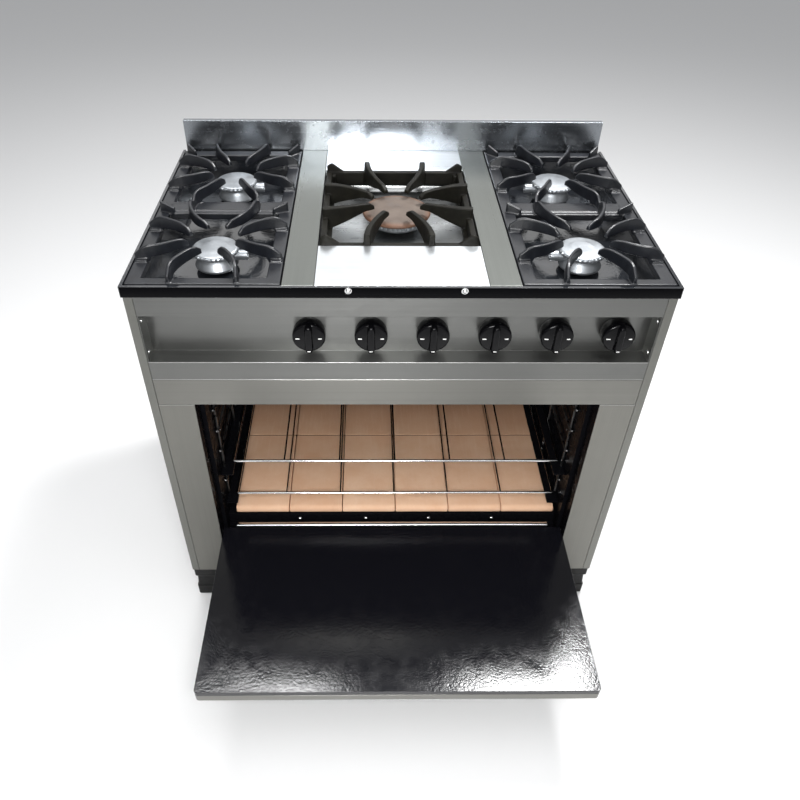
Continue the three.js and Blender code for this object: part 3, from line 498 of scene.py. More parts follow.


# ---- the finishes used
# Painted light in the stainless tones: each copy's base colour follows how bright its part shows,
# not bare stainless; most are darker than bare stainless (painted shade), the plate's is near white
# (painted reflection).
STEEL_FRONT = brushed_steel("stainless_front", (0.225, 0.222, 0.205), 0.34, "x", 0.8)
STEEL_PANEL = brushed_steel("stainless_panel", (0.19, 0.192, 0.185), 0.36, "x", 0.75, 0.3)
# Painted reflection: the plates' near-white tone stands for the bright ceiling they mirror.
STEEL_PLATE_LIT = brushed_steel("stainless_plate_painted_reflection", (0.80, 0.83, 0.85), 0.30, "x", 0.2, 0.5)
STEEL_SIDE = brushed_steel("stainless_side", (0.19, 0.19, 0.175), 0.33, "y")
STEEL_POST = brushed_steel("stainless_upright", (0.195, 0.192, 0.175), 0.32, "z")
STEEL_STRIP = brushed_steel("stainless_strip", (0.22, 0.23, 0.215), 0.30, "y", 0.3, 0.2)
STEEL_SPLASH = brushed_steel("stainless_splash", (0.31, 0.33, 0.355), 0.24, "x", 0.3, 1.0)
STEEL_BASE = brushed_steel("stainless_base", (0.36, 0.36, 0.35), 0.38, "x")
STEEL_BRIGHT = bright_steel("bright_steel")
# Painted highlight: a lighter copy of the stainless, for the rods along the front folds.
STEEL_FOLD_HIGHLIGHT = brushed_steel("stainless_fold_painted_highlight", (0.46, 0.46, 0.45), 0.40, "x", 0.5, 0.1)
STEEL_TRAY = brushed_steel("stainless_tray", (0.40, 0.41, 0.41), 0.28, "x", 0.2, 1.5)
GALVANISED = galvanised("galvanised_sheet")
ENAMEL = black_enamel("black_enamel", 0.20, (0.013, 0.0145, 0.0175), 0.09, 1.0)
# Painted shade: a darker, barely reflective copy of the worktop enamel, for the band's front face.
ENAMEL_BAND_SHADE = black_enamel("black_enamel_band_painted_shade", 0.15, (0.0015, 0.0015, 0.002), 0.08, 0.05)
ENAMEL_DOOR = black_enamel("black_enamel_door", 0.15, (0.005, 0.005, 0.007), 0.13, 0.5)
ENAMEL_OVEN = black_enamel("black_enamel_oven", 0.35, (0.004, 0.004, 0.005), 0.24, 0.10, 1.22)
GRATE_IRON = cast_metal("grate_enamelled_iron", (0.0045, 0.005, 0.007), (0.009, 0.0105, 0.014),
                        0.32, 0.12, None, 0.6)
CENTRE_IRON = cast_metal("centre_grate_iron", (0.003, 0.0027, 0.0018), (0.009, 0.0083, 0.0055),
                         0.5, 0.5, (0.022, 0.020, 0.014), 0.15)
ALUMINIUM = burner_aluminium("burner_cast_aluminium")
CHROME = bright_chrome("bright_wire")
# Painted shade: a dark copy of the bright wire, for the guides and rivets on the shaded oven sides.
GUIDE_WIRE_SHADE = bright_chrome("wire_painted_shade", 0.16, 0.4)
KNOB_BLACK = gloss_black("knob_phenolic")
LEG_BLACK = satin_black("leg_satin_black")
MARK_WHITE = satin_white("knob_mark_white")
# Painted shade: the dark strip in the brick joint stands for the shadow there.
JOINT_SHADE = cast_metal("joint_painted_shade", (0.010, 0.006, 0.004), (0.022, 0.013, 0.009), 0.9, 0.6,
                  None, 0.1)
BRASS = brass("gas_brass")
BRICK = firebrick("firebrick_terracotta")


# ---- body
def body_panels():
    for side in ("left", "right"):
        jamb_black_sheet(side)
        refined(f"side_panel_{side}", STEEL_SIDE, 0.5 * MM)
        refined(f"front_column_{side}", STEEL_POST, 0.6 * MM)
    refined("header_panel", STEEL_FRONT, 0.6 * MM)
    refined("control_panel", STEEL_PANEL, 0.6 * MM)
    refined("base_panel", STEEL_BASE, 0.5 * MM)
    refined("back_panel", GALVANISED, 0.3 * MM, 1)
    refined("backsplash", STEEL_SPLASH, 0.6 * MM, 3)
    fold_highlight_rods()


def jamb_black_sheet(side):
    """A thin black enamel sheet laid on the return of a front column, beside the oven mouth."""
    lo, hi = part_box(f"front_column_{side}")
    x, out = (hi.x, 0.5 * MM) if side == "left" else (lo.x, -0.5 * MM)
    bm = bmesh.new()
    add_box(bm, (x, FRONT_Y + 1.4 * MM, lo.z + 96 * MM), (x + out, hi.y, hi.z - 0.5 * MM), 0.1 * MM)
    make_object(f"jamb_lining_{side}", bm, ENAMEL_OVEN)


def fold_highlight_rods():
    """Round rods of lighter steel along the bends of the folded front sheets: a painted highlight,
    so the bends show as thin bright lines.
    """
    x, y = PANEL_X - 0.5 * MM, FRONT_Y + 0.5 * MM
    bm = bmesh.new()
    for z in FOLD_ZS:
        add_wire(bm, [(-x, y, z), (x, y, z)], 0.8 * MM, 10)
    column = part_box("front_column_left")[1]
    inner, top = column.x, column.z - 0.8 * MM
    for ends in ((-x, inner), (-inner, x)):
        add_wire(bm, [(end, y, top) for end in ends], 0.7 * MM, 10)
    make_object("front_fold_beads", bm, STEEL_FOLD_HIGHLIGHT)


def fasteners():
    """Dome nuts on the band, screws in the recess ends and round the back panel."""
    nuts = [((x * MM, BAND_Y, DECK_Z - 6 * MM), (0, -1, 0)) for x in (-86, 100)]
    add_domes("band_dome_nuts", nuts, 4.2 * MM, 4.5 * MM, CHROME)
    inner_x = PANEL_X - 1.5 * MM
    screws = [((side * inner_x, FRONT_Y + y * MM, z * MM), (-side, 0, 0))
              for side in (-1, 1) for z, y in ((762, 12), (697, 13))]
    add_domes("recess_screws", screws, 3.0 * MM, 2.2 * MM, CHROME)
    lo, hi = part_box("back_panel")
    places = [(lo.x + 16 * MM + i * (hi.x - lo.x - 32 * MM) / 4, z)
              for i in range(5) for z in (lo.z + 14 * MM, hi.z - 14 * MM)]
    places += [(side * (hi.x - 12 * MM), lo.z + i * (hi.z - lo.z) / 4)
               for side in (-1, 1) for i in range(1, 4)]
    heads = [((x, REAR_Y, z), (0, 1, 0)) for x, z in places]
    add_domes("back_panel_screws", heads, 3.6 * MM, 2.4 * MM, GALVANISED)


def legs():
    """Square moulded legs with a collar, a waist and a slightly wider foot."""
    steps = [(0.0, 29.5), (1.5, 31.0), (29.0, 31.0), (32.0, 29.0), (60.0, 27.2), (63.0, 28.0),
             (68.0, 31.0), (91.0, 31.0), (92.0, 30.0)]
    for node in ("leg_front_left", "leg_front_right", "leg_rear_left", "leg_rear_right"):
        lo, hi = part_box(node)
        centre = (lo + hi) / 2
        bm = bmesh.new()
        add_rings(bm, [rounded_square(centre, half * MM, 5 * MM, z * MM) for z, half in steps])
        stand_in(node, "moulded", bm, LEG_BLACK, 30.0)


def rounded_square(centre, half, corner, z, per_corner=6):
    """A level ring of points round a square with rounded corners."""
    ring = []
    for quarter in range(4):
        middle = math.radians(45 + 90 * quarter)
        cx = centre.x + math.copysign(half - corner, math.cos(middle))
        cy = centre.y + math.copysign(half - corner, math.sin(middle))
        for k in range(per_corner + 1):
            a = math.radians(90 * quarter + 90 * k / per_corner)
            ring.append((cx + corner * math.cos(a), cy + corner * math.sin(a), z))
    return ring


# ---- worktop
def worktop():
    refined("worktop_pan", ENAMEL, 1.4 * MM, 3)
    # Painted shade: a darker copy of the enamel laid over the band's front face, so the band shows
    # black.
    bm = bmesh.new()
    add_box(bm, (BAND_LO.x + 1 * MM, BAND_Y - 0.3 * MM, DECK_Z - 19.6 * MM),
            (BAND_HI.x - 1 * MM, BAND_Y + 0.6 * MM, DECK_Z - 0.6 * MM), 0.25 * MM)
    make_object("band_enamel_face", bm, ENAMEL_BAND_SHADE)
    for side in ("left", "right"):
        refined(f"deck_strip_{side}", STEEL_STRIP, 0.9 * MM, 3)
    # The infill plates take the near-white plate steel, a painted reflection.
    for end in ("front", "rear"):
        refined(f"infill_plate_{end}", STEEL_PLATE_LIT, 0.9 * MM, 3)
    bright_tray()


def signed_power(value, power):
    return math.copysign(abs(value) ** power, value)


def bright_tray():
    """The dished bright pan under the middle burner."""
    lo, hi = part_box("center_tray")
    centre, half = (lo + hi) / 2, (hi - lo) / 2
    hole = 21.5 * MM / half.x
    # size beside the half width, height in millimetres, squareness of the ring
    rows = [(0.995, 13, 9), (0.985, 13.5, 9), (0.96, 4, 8), (0.92, 1.6, 7), (0.6, 1.2, 3),
            (hole * 1.2, 1.2, 2), (hole, 1.0, 2), (hole, 0.2, 2), (0.6, 0, 3), (0.92, 0.4, 7),
            (0.965, 2.6, 8), (0.995, 12, 9)]
    bm = bmesh.new()
    rings = []
    for size, height, corner in rows:
        angles = [a + math.pi / 64 for a in circle(64)]
        rings.append([(centre.x + signed_power(math.cos(a), 2 / corner) * half.x * size,
                       centre.y + signed_power(math.sin(a), 2 / corner) * half.y * size,
                       lo.z + height * MM) for a in angles])
    add_rings(bm, rings, cyclic=True)
    stand_in("center_tray", "dished", bm, STEEL_TRAY, 50.0)


# ---- grates
FINGER_HEIGHTS = [(0, 12), (0.07, 17), (0.15, 23), (0.26, 26), (0.78, 24), (0.91, 21), (1, 14)]


def interpolated(table, s):
    for (s0, h0), (s1, h1) in zip(table, table[1:]):
        if s <= s1:
            return h0 + (h1 - h0) * (s - s0) / (s1 - s0)
    return table[-1][1]


def curve_points(knots, count):
    """Evenly spaced points and tangents on a smooth curve through or towards the knots."""
    if len(knots) == 3:
        ends = [Vector(k) for k in knots]
        at = lambda t: bezier(*ends, t)
    else:
        at = lambda t: catmull(knots, t)
    fine = [at(i / 200) for i in range(201)]
    lengths = [0.0]
    for p, q in zip(fine, fine[1:]):
        lengths.append(lengths[-1] + (q - p).length)
    out = []
    for i in range(count):
        target = lengths[-1] * i / (count - 1)
        k = min(199, max(0, next((j for j, d in enumerate(lengths) if d >= target), 200) - 1))
        spare = (target - lengths[k]) / max(1e-9, lengths[k + 1] - lengths[k])
        out.append((fine[k].lerp(fine[k + 1], spare), (fine[k + 1] - fine[k]).normalized()))
    return out


def catmull(knots, t):
    pts = [Vector(k) for k in knots]
    pts = [pts[0] * 2 - pts[1], *pts, pts[-1] * 2 - pts[-2]]
    at = t * (len(pts) - 3)
    i = min(int(at), len(pts) - 4)
    u = at - i
    a, b, c, d = pts[i:i + 4]
    return 0.5 * (2 * b + (c - a) * u + (2 * a - 5 * b + 4 * c - d) * u ** 2
                  + (3 * b - a - 3 * c + d) * u ** 3)


def add_blade(bm, knots, low, top, thickness, count=22, flare=0.0, crest=0.6):
    """An upright cast blade along a plan curve; low and top give heights in metres."""
    rings = []
    for i, (p, t) in enumerate(curve_points(knots, count)):
        s = i / (count - 1)
        side = Vector((-t.y, t.x))
        end = min(s, 1 - s) * (count - 1)
        half = thickness / 2 * (0.86 if end < 0.5 else 1.0) * (1 + flare * (1 - s) ** 3)
        z0, z1 = low(s, p), top(s, p)
        crown = min(1.4 * MM, (z1 - z0) / 3)
        shape = [(-0.9, z0), (-1.0, z0 + 1.0 * MM), (-crest - 0.06, z1 - crown),
                 (-crest + 0.16, z1), (crest - 0.16, z1), (crest + 0.06, z1 - crown),
                 (1.0, z0 + 1.0 * MM), (0.9, z0)]
        rings.append([(p.x + side.x * half * u, p.y + side.y * half * u, z) for u, z in shape])
    add_rings(bm, rings)


def cast_piece(node, bm, material):
    """Fuses overlapping solids into one casting with small fillets where they meet."""
    piece = make_object(f"{node}_casting", bm, material, 180.0, NODE_BODY[node])
    fuse = piece.modifiers.new("fuse", "REMESH")
    fuse.mode = "VOXEL"
    fuse.voxel_size = 1.15 * MM
    soften = piece.modifiers.new("soften", "SMOOTH")
    soften.factor = 0.5
    soften.iterations = 2
    thin = piece.modifiers.new("thin", "DECIMATE")
    thin.ratio = 0.25
    applied(piece)
    piece.data.shade_smooth()
    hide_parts(node)


GRATE_ROWS = (129 * MM, 400 * MM)  # burner centres behind the grate's front edge
GRATE_WINDOWS = ((18 * MM, 242 * MM), (291 * MM, 509 * MM))
WINDOW_W = 101 * MM
FINGER_T = 8.8 * MM


def side_grate(side_name):
    """A frame with two windows, curved fingers, bowed fingers over the crossbar and nubs."""
    node = f"grate_{side_name}"
    lo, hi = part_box(node)
    cx = (lo.x + hi.x) / 2
    half_w = (hi.x - lo.x) / 2 - 0.2 * MM
    windows = [(lo.y + a, lo.y + b) for a, b in GRATE_WINDOWS]

    def over_window(p):
        inside = abs(p.x - cx) < WINDOW_W - 1 * MM
        return inside and any(a < p.y < b for a, b in windows)

    low = lambda s, p: DECK_Z + (3.5 * MM + 3 * MM * s if over_window(p) else -5 * MM)
    top = lambda s, p: DECK_Z + interpolated(FINGER_HEIGHTS, s) * MM
    bm = bmesh.new()
    grate_frame(bm, cx, half_w, lo, hi, windows)
    for s in (-1, 1):
        for knots in grate_fingers(half_w, lo.y, hi.y, windows):
            add_blade(bm, [(cx + s * x, y) for x, y in knots], low, top, FINGER_T)
        for (ax, ay), (bx, by) in grate_nubs(half_w, lo.y, hi.y):
            ends = [(cx + s * ax, ay), (cx + s * (ax + bx) / 2, (ay + by) / 2), (cx + s * bx, by)]
            add_blade(bm, ends, lambda t, p: DECK_Z - 6 * MM,
                      lambda t, p: DECK_Z + (19 - 9 * t) * MM, FINGER_T, 8)
    cast_piece(node, bm, GRATE_IRON)


def grate_frame(bm, cx, half_w, lo, hi, windows):
    """The flat frame, with a raised plate on its crossbar and pads under the side fingers."""
    for s in (-1, 1):
        add_box(bm, (cx + s * half_w, lo.y, lo.z), (cx + s * WINDOW_W, hi.y, DECK_Z))
        for row in GRATE_ROWS:
            for r in (-1, 1):
                y = lo.y + row + r * 54 * MM
                add_box(bm, (cx + s * (half_w - 3 * MM), y - 9 * MM, DECK_Z - 2 * MM),
                        (cx + s * (WINDOW_W + 1 * MM), y + 9 * MM, DECK_Z + 3.0 * MM))
    for a, b in ((lo.y, windows[0][0]), (windows[0][1], windows[1][0]), (windows[1][1], hi.y)):
        add_box(bm, (cx - half_w, a, lo.z), (cx + half_w, b, DECK_Z))
    add_box(bm, (cx - WINDOW_W, windows[0][1] + 11 * MM, DECK_Z - 2 * MM),
            (cx + WINDOW_W, windows[1][0] - 11 * MM, DECK_Z + 1.6 * MM))


def grate_fingers(half_w, y0, y1, windows):
    """Plan curves of the fingers on one side, x measured from the grate's centre line."""
    root, reach, spread, bow = 54 * MM, 41 * MM, 15 * MM, 60 * MM
    rows = [y0 + row for row in GRATE_ROWS]
    curves = []
    for yc in rows:
        for r in (-1, 1):
            y = yc + r * root
            curves.append([(half_w - 2 * MM, y), ((half_w + reach) / 2, y),
                           (reach, yc + r * spread)])
    for yc, edge, sign in ((rows[0], y0 + 2.5 * MM, -1), (rows[1], y1 - 2.5 * MM, 1)):
        tip = yc + sign * reach
        curves.append([(root, edge), (root, (edge + tip) / 2), (spread, tip)])
    middle = (windows[0][1] + windows[1][0]) / 2
    front, rear = rows[0] + reach, rows[1] - reach
    curves.append([(bow, middle + 2 * MM), (bow, middle - 14 * MM),
                   (bow * 0.89, middle - 47 * MM), (bow * 0.6, front + 16 * MM), (spread, front)])
    curves.append([(bow, middle - 2 * MM), (bow * 0.94, middle + 16 * MM),
                   (bow * 0.65, middle + 44 * MM), (spread, rear)])
    return curves


def grate_nubs(half_w, y0, y1):
    """Ends of the short ribs beside the crossbar and in the rear corners."""
    return (((half_w - 7 * MM, y0 + 255 * MM), (half_w - 34 * MM, y0 + 245 * MM)),
            ((half_w - 7 * MM, y1 - 6 * MM), (half_w - 26 * MM, y1 - 25 * MM)))


def centre_grate():
    """The deep square frame with two thick fingers from each side and raised corner lugs."""
    node = "grate_center"
    lo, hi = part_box(node)
    c = (lo + hi) / 2
    hx, hy = (hi.x - lo.x) / 2, (hi.y - lo.y) / 2
    bm = bmesh.new()
    centre_frame(bm, c, hx, hy)
    low = lambda s, p: DECK_Z + (-25 + 27 * min(1, s * 1.25)) * MM
    top = lambda s, p: DECK_Z + (19 - 5 * s * s - 6 * max(0.0, (s - 0.9) / 0.1)) * MM
    lug_top = lambda s, p: DECK_Z + (12 + 20 * s if s < 0.3 else 18 - 24 * (s - 0.3)) * MM
    reach, spread = 44 * MM, 19 * MM
    for a in (-1, 1):
        for b in (-1, 1):
            root = (c.x + a * (hx - 1 * MM), c.y + b * 50 * MM)
            tip = (c.x + a * reach, c.y + b * spread)
            knee = (root[0] * 0.6 + tip[0] * 0.4, root[1])
            add_blade(bm, [root, knee, tip], low, top, 11.5 * MM, flare=0.5, crest=0.72)
            root = (c.x + a * 56 * MM, c.y + b * (hy - 1 * MM))
            tip = (c.x + a * spread, c.y + b * reach)
            knee = (root[0], root[1] * 0.6 + tip[1] * 0.4)
            add_blade(bm, [root, knee, tip], low, top, 11.5 * MM, flare=0.3, crest=0.72)
            add_box(bm, (c.x + a * hx, c.y + b * hy, lo.z),
                    (c.x + a * (hx - 18 * MM), c.y + b * (hy - 18 * MM), DECK_Z - 5 * MM))
            y = c.y + b * (hy - 6 * MM)
            ends = [(c.x + a * (hx - at * MM), y) for at in (1, 17, 34)]
            add_blade(bm, ends, lambda s, p: DECK_Z - 5 * MM, lug_top, 10 * MM, 10)
    cast_piece(node, bm, CENTRE_IRON)


def centre_frame(bm, c, hx, hy):
    """Four deep bars with a low inner ledge on two of them."""
    bar, bottom = 11 * MM, DECK_Z - 27 * MM
    for s in (-1, 1):
        add_box(bm, (c.x + s * hx, c.y - hy, bottom), (c.x + s * (hx - bar), c.y + hy, DECK_Z))
        add_box(bm, (c.x - hx, c.y + s * hy, bottom), (c.x + hx, c.y + s * (hy - bar), DECK_Z))
        add_box(bm, (c.x + s * (hx - bar + 2 * MM), c.y - hy + bar, bottom),
                (c.x + s * (hx - bar - 7 * MM), c.y + hy - bar, bottom + 7 * MM))


# ---- burners
def cut_ports(bm, cx, cy, heights, count, level, depth, beyond=0.0):
    """Draws the rim between two heights inwards at even steps, which leaves the flame ports."""
    for v in bm.verts:
        x, y = v.co.x - cx, v.co.y - cy
        if heights[0] < v.co.z < heights[1] and math.hypot(x, y) > beyond:
            if math.cos(math.atan2(y, x) * count) > level:
                v.co.x -= x * depth
                v.co.y -= y * depth


def side_burner(node):
    """Mushroom head with flame ports, flared skirt, side boss, neck and mixing tube."""
    lo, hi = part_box(node)
    inner = -1 if hi.x > 0 and lo.x > 0 else 1
    cx = hi.x - HEAD_INSET if inner < 0 else lo.x + HEAD_INSET
    cy = hi.y - HEAD_INSET
    profile = [(0, 796), (36, 796), (38, 800), (31, 811), (29, 817), (33, 820), (41, 822.5),
               (41.5, 827), (38, 830.5), (26, 831.2), (20, 832), (0, 832)]
    head = bmesh.new()
    add_turned(head, rounded_profile(scaled(profile), 2.0 * MM), (cx, cy, 0.0), "z", 128)
    cut_ports(head, cx, cy, (0.8215, 0.8285), 32, 0.35, 0.055)
    stand_in(node, "head", head, ALUMINIUM, 32.0)
    bm = bmesh.new()
    boss = [(0, 16), (10, 16), (9, 40), (9, 56), (4, 56), (4, 50), (0, 50)]
    boss = [(r, h * inner) for r, h in rounded_profile(scaled(boss), 1.5 * MM)]
    add_turned(bm, boss, (cx, cy, 815 * MM), "x", 32)
    make_object(f"{node}_boss", bm, ALUMINIUM, 40.0)
    throat(node, cx, cy, lo)


def throat(node, cx, cy, lo):
    """The neck through the well floor and the mixing tube that runs forward."""
    tube_z = lo.z + 19 * MM
    bm = bmesh.new()
    path = filleted([(cx, cy, 799 * MM), (cx, cy, tube_z), (cx, lo.y + 14 * MM, tube_z)], 14 * MM)
    add_wire(bm, path, 15 * MM, 24)
    bell = rounded_profile(scaled([(0, 0), (19, 0), (19, 6), (15, 16), (0, 16)]), 2 * MM)
    add_turned(bm, [(r, -h) for r, h in bell], (cx, lo.y, tube_z), "y", 32)
    make_object(f"{node}_mixing_tube", bm, ALUMINIUM, 40.0)


def middle_burner():
    """The larger burner under the middle grate, and its heat-browned cap."""
    lo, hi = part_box("burner_center")
    cx, cy = (lo.x + hi.x) / 2, hi.y - 55 * MM
    profile = [(0, 796), (36, 796), (44, 799), (52, 804), (55, 808), (55.5, 817), (0, 817)]
    bm = bmesh.new()
    add_turned(bm, rounded_profile(scaled(profile), 1.5 * MM), (cx, cy, 0.0), "z", 144)
    cut_ports(bm, cx, cy, (0.8095, 0.8165), 36, 0.3, 0.05, 40 * MM)
    stand_in("burner_center", "head", bm, ALUMINIUM, 32.0)
    throat("burner_center", cx, cy, lo)

    lo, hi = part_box("burner_cap_center")
    radius, height = (hi.x - lo.x) / 2, hi.z - lo.z
    cap = [(0, 0), (radius - 3 * MM, 0), (radius, 3 * MM), (radius - 2 * MM, 7.5 * MM),
           (radius - 13 * MM, 9.4 * MM), (radius * 0.5, height - 1.2 * MM), (12 * MM, height),
           (0, height)]
    bm = bmesh.new()
    add_turned(bm, rounded_profile(cap, 2.5 * MM), (cx, cy, lo.z), "z", 96)
    skin = burnt_cap("middle_cap_burnt", Vector((cx, cy, 0)), radius)
    stand_in("burner_cap_center", "turned", bm, skin)


# ---- knobs and gas train
def knob(index):
    """A thick round knob with a slightly domed face, a bar across it, and its spindle."""
    node = f"knob_{index}"
    lo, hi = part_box(node)
    cx, cz = (lo.x + hi.x) / 2, (lo.z + hi.z) / 2
    radius = (hi.z - lo.z) / 2
    back = RECESS_BACK_Y - 1.5 * MM
    face = FRONT_Y + 5 * MM
    drum = [(0, back), (radius - 2.4 * MM, back), (radius - 1.6 * MM, back - 5 * MM),
            (radius - 0.6 * MM, back - 7 * MM), (radius, face + 9 * MM),
            (radius - 0.8 * MM, face + 3 * MM), (radius - 3.0 * MM, face + 1.0 * MM),
            (radius - 9 * MM, face + 0.2 * MM), (radius * 0.4, face - 0.9 * MM),
            (0, face - 1.2 * MM)]
    bm = bmesh.new()
    add_turned(bm, [(r, -y) for r, y in rounded_profile(drum, 1.6 * MM, 5)],
               (cx, 0.0, cz), "y", 80)
    make_grip(bm, cx, cz, radius, face, lo.y)
    spindle = ((0, back - 1 * MM), (4 * MM, back - 1 * MM), (4 * MM, hi.y), (0, hi.y))
    add_turned(bm, [(r, -y) for r, y in spindle], (cx, 0.0, cz), "y", 24)
    stand_in(node, "moulded", bm, KNOB_BLACK, 50.0)
    bm = bmesh.new()
    reach = radius * 0.66
    for x, z, half in ((-reach, 0.0, 3.4), (reach, 0.0, 3.0)):
        centre = Vector((cx + x, face + 0.1 * MM, cz + z))
        span = Vector((half, 0.7, 0.9)) * MM
        add_box(bm, centre - span, centre + span, 0.2 * MM)
    tip = Vector((cx, lo.y + 0.2 * MM, cz - radius * 0.74))
    add_box(bm, tip - Vector((2.8, 0.3, 0.9)) * MM, tip + Vector((2.8, 0.8, 0.9)) * MM, 0.2 * MM)
    make_object(f"{node}_marks", bm, MARK_WHITE, 50.0, f"tap_{index}")


def make_grip(bm, cx, cz, radius, face, front):
    """The bar across the knob, wider at its lower end, rounded on every edge."""
    half_h = radius - 0.8 * MM
    layers = [(face + 4 * MM, 1.12, 1.0), (face + 0.5 * MM, 1.05, 0.99),
              (face - 1.5 * MM, 0.90, 0.97), (front + 1.6 * MM, 0.82, 0.93),
              (front + 0.4 * MM, 0.70, 0.88), (front, 0.50, 0.82)]
    rings = []
    for y, wide, tall in layers:
        ring = []
        for a in circle(56):
            x = signed_power(math.cos(a), 0.5) * 7.0 * MM
            z = signed_power(math.sin(a), 0.7) * half_h
            flared = 1.0 + 0.30 * max(0.0, -z / half_h) ** 2
            ring.append((cx + x * wide * flared, y, cz + z * tall))
        rings.append(ring)
    add_rings(bm, rings)


def gas_train():
    refined("gas_manifold", BRASS, 0.6 * MM)
    refined("oven_burner", GALVANISED, 0.6 * MM)


# ---- oven
def oven_shell():
    for node in ("oven_side_left", "oven_side_right", "oven_back", "oven_roof", "oven_floor"):
        refined(node, ENAMEL_OVEN, 0.6 * MM)
    sill_trim(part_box("oven_floor")[0].y)


def sill_trim(front):
    """The bright bowed strip on the sill's lip, and the screws in the step behind it."""
    half, lip_z = 340 * MM, 205 * MM
    bm = bmesh.new()
    rings = []
    for i in range(33):
        u = -1 + i / 16
        crest = lip_z + 0.6 * MM + 1.2 * MM * (1 - u * u)
        y0, y1 = front - 0.8 * MM, front + 10.0 * MM
        section = [(y0, crest - 9.0 * MM), (y0, crest - 0.8 * MM), (y0 + 1.0 * MM, crest),
                   (y0 + 4.2 * MM, crest + 0.9 * MM), (y1 - 1.0 * MM, crest),
                   (y1, crest - 1.2 * MM), (y1, crest - 5.0 * MM)]
        rings.append([(u * half, y, z) for y, z in section])
    add_rings(bm, rings)
    make_object("sill_bright_strip", bm, STEEL_BRIGHT, 30.0)
    spots = [((x * MM, BRICK_Y, 202.5 * MM), (0, -1, 0)) for x in (-204, -59, 80, 220)]
    add_domes("sill_screws", spots, 4.4 * MM, 3.6 * MM, CHROME)


def rack_guides():
    """Wire ladders hung on the side walls, with their rivets."""
    for side, sign in (("left", -1), ("right", 1)):
        bm = bmesh.new()
        x, foot = sign * 355.5 * MM, sign * 358.5 * MM
        y0, y1 = FRONT_Y + 74 * MM, FRONT_Y + 528 * MM
        for z in GUIDE_ZS:
            path = filleted([(foot, y0, z), (x, y0, z), (x, y1, z), (foot, y1, z)], 4 * MM)
            add_wire(bm, path, 2.4 * MM, 10)
        for k in range(4):
            y = y0 + 10 * MM + k * (y1 - y0 - 20 * MM) / 3
            add_wire(bm, [(sign * 0.3573, y, 0.262), (sign * 0.3573, y, 0.530)], 2.4 * MM, 10)
        # The guides take the darkened wire: painted shade.
        make_object(f"rack_guide_{side}", bm, GUIDE_WIRE_SHADE)
        bm = bmesh.new()
        for k in range(5):
            for z in RIVET_ZS:
                y = FRONT_Y + (110 + 90 * k) * MM
                add_dome(bm, (sign * 0.36, y, z), (-sign, 0, 0), 2.4 * MM, 1.6 * MM, False, 12)
        # The rivets take the darkened wire too: painted shade.
        make_object(f"oven_rivets_{side}", bm, GUIDE_WIRE_SHADE)


def brick_section(lo, hi, over, under):
    """Side-on outline of a brick whose front edge is rounded above and below."""
    section = [(hi.y - 1.2 * MM, lo.z), (hi.y, lo.z + 1.2 * MM), (hi.y, hi.z - 1 * MM),
               (hi.y - 1 * MM, hi.z)]
    for radius, start, z in ((over, 90, hi.z - over), (under, 180, lo.z + under)):
        for k in range(7):
            a = math.radians(start + 90 * k / 6)
            section.append((lo.y + radius + radius * math.cos(a), z + radius * math.sin(a)))
    return section


def brick(node, seed):
    """A firebrick with worn arrises and slightly uneven faces; front ones have a bull nose."""
    lo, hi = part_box(node)
    rng = random.Random(seed)
    bm = bmesh.new()
    over, under = (10 * MM, 9.5 * MM) if "front" in node else (1.0 * MM, 1.0 * MM)
    section = brick_section(lo, hi, over, under)
    dense = []
    for (y0, z0), (y1, z1) in zip(section, section[1:] + section[:1]):
        pieces = max(1, round(math.hypot(y1 - y0, z1 - z0) / (13 * MM)))
        dense += [(y0 + (y1 - y0) * i / pieces, z0 + (z1 - z0) * i / pieces) for i in range(pieces)]
    centre, half = (lo + hi) / 2, (hi - lo) / 2
    edge = 1.8 * MM
    columns = [(0.0, edge), (edge * 0.3, edge * 0.3), (edge, 0.0)]
    columns += [(edge + (hi.x - lo.x - 2 * edge) * i / 8, 0.0) for i in range(1, 8)]
    columns += [(hi.x - lo.x - x, inset) for x, inset in columns[2::-1]]
    rings = [[(lo.x + x, centre.y + (y - centre.y) * (1 - inset / half.y),
               centre.z + (z - centre.z) * (1 - inset / half.z)) for y, z in dense]
             for x, inset in columns]
    add_rings(bm, rings)
    offset = Vector((rng.uniform(0, 50), rng.uniform(0, 50), rng.uniform(0, 50)))
    for v in bm.verts:
        wear = noise.noise(v.co * 55 + offset) * 0.5 + noise.noise(v.co * 160 + offset) * 0.3
        pull = 0.35 * MM + 0.55 * MM * abs(wear)
        v.co += (centre - v.co).normalized() * pull
    stand_in(node, "fired", bm, BRICK, 38.0)


def brick_joints():
    """A dark strip in the joint between the two rows of bricks: painted shade for the shadow down
    in that joint.
    """
    lo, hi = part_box("brick_front_1"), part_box("brick_front_6")
    bm = bmesh.new()
    add_box(bm, (lo[0].x + 2 * MM, hi[1].y - 1.4 * MM, hi[0].z + 1 * MM),
            (hi[1].x - 2 * MM, hi[1].y + 2.4 * MM, hi[1].z - 0.8 * MM), 0.2 * MM)
    make_object("brick_row_joint", bm, JOINT_SHADE)


def rack(node):
    """Wire shelf: a bent border wire and five long wires welded over it."""
    lo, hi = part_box(node)
    z = (lo.z + hi.z) / 2
    r = 3 * MM
    bm = bmesh.new()
    x0, x1, y0, y1 = lo.x + r, hi.x - r, lo.y + r, hi.y - r
    border = filleted([(x0, y0, z), (x1, y0, z), (x1, y1, z), (x0, y1, z)], 4 * MM, 5,
                      cyclic=True)
    add_wire(bm, border, r, 14, cyclic=True)
    for i in range(-2, 3):
        x = (x0 + x1) / 2 - 3 * MM + i * RACK_PITCH
        path = filleted([(x, y0 - 1.2 * MM, z - 1.5 * MM), (x, y0 + 5 * MM, z + 0.9 * MM),
                         (x, y1 - 5 * MM, z + 0.9 * MM), (x, y1 + 1.0 * MM, z - 1.5 * MM)],
                        3 * MM, 4)
        add_wire(bm, path, 1.9 * MM, 10)
    stand_in(node, "wire", bm, CHROME, 60.0)


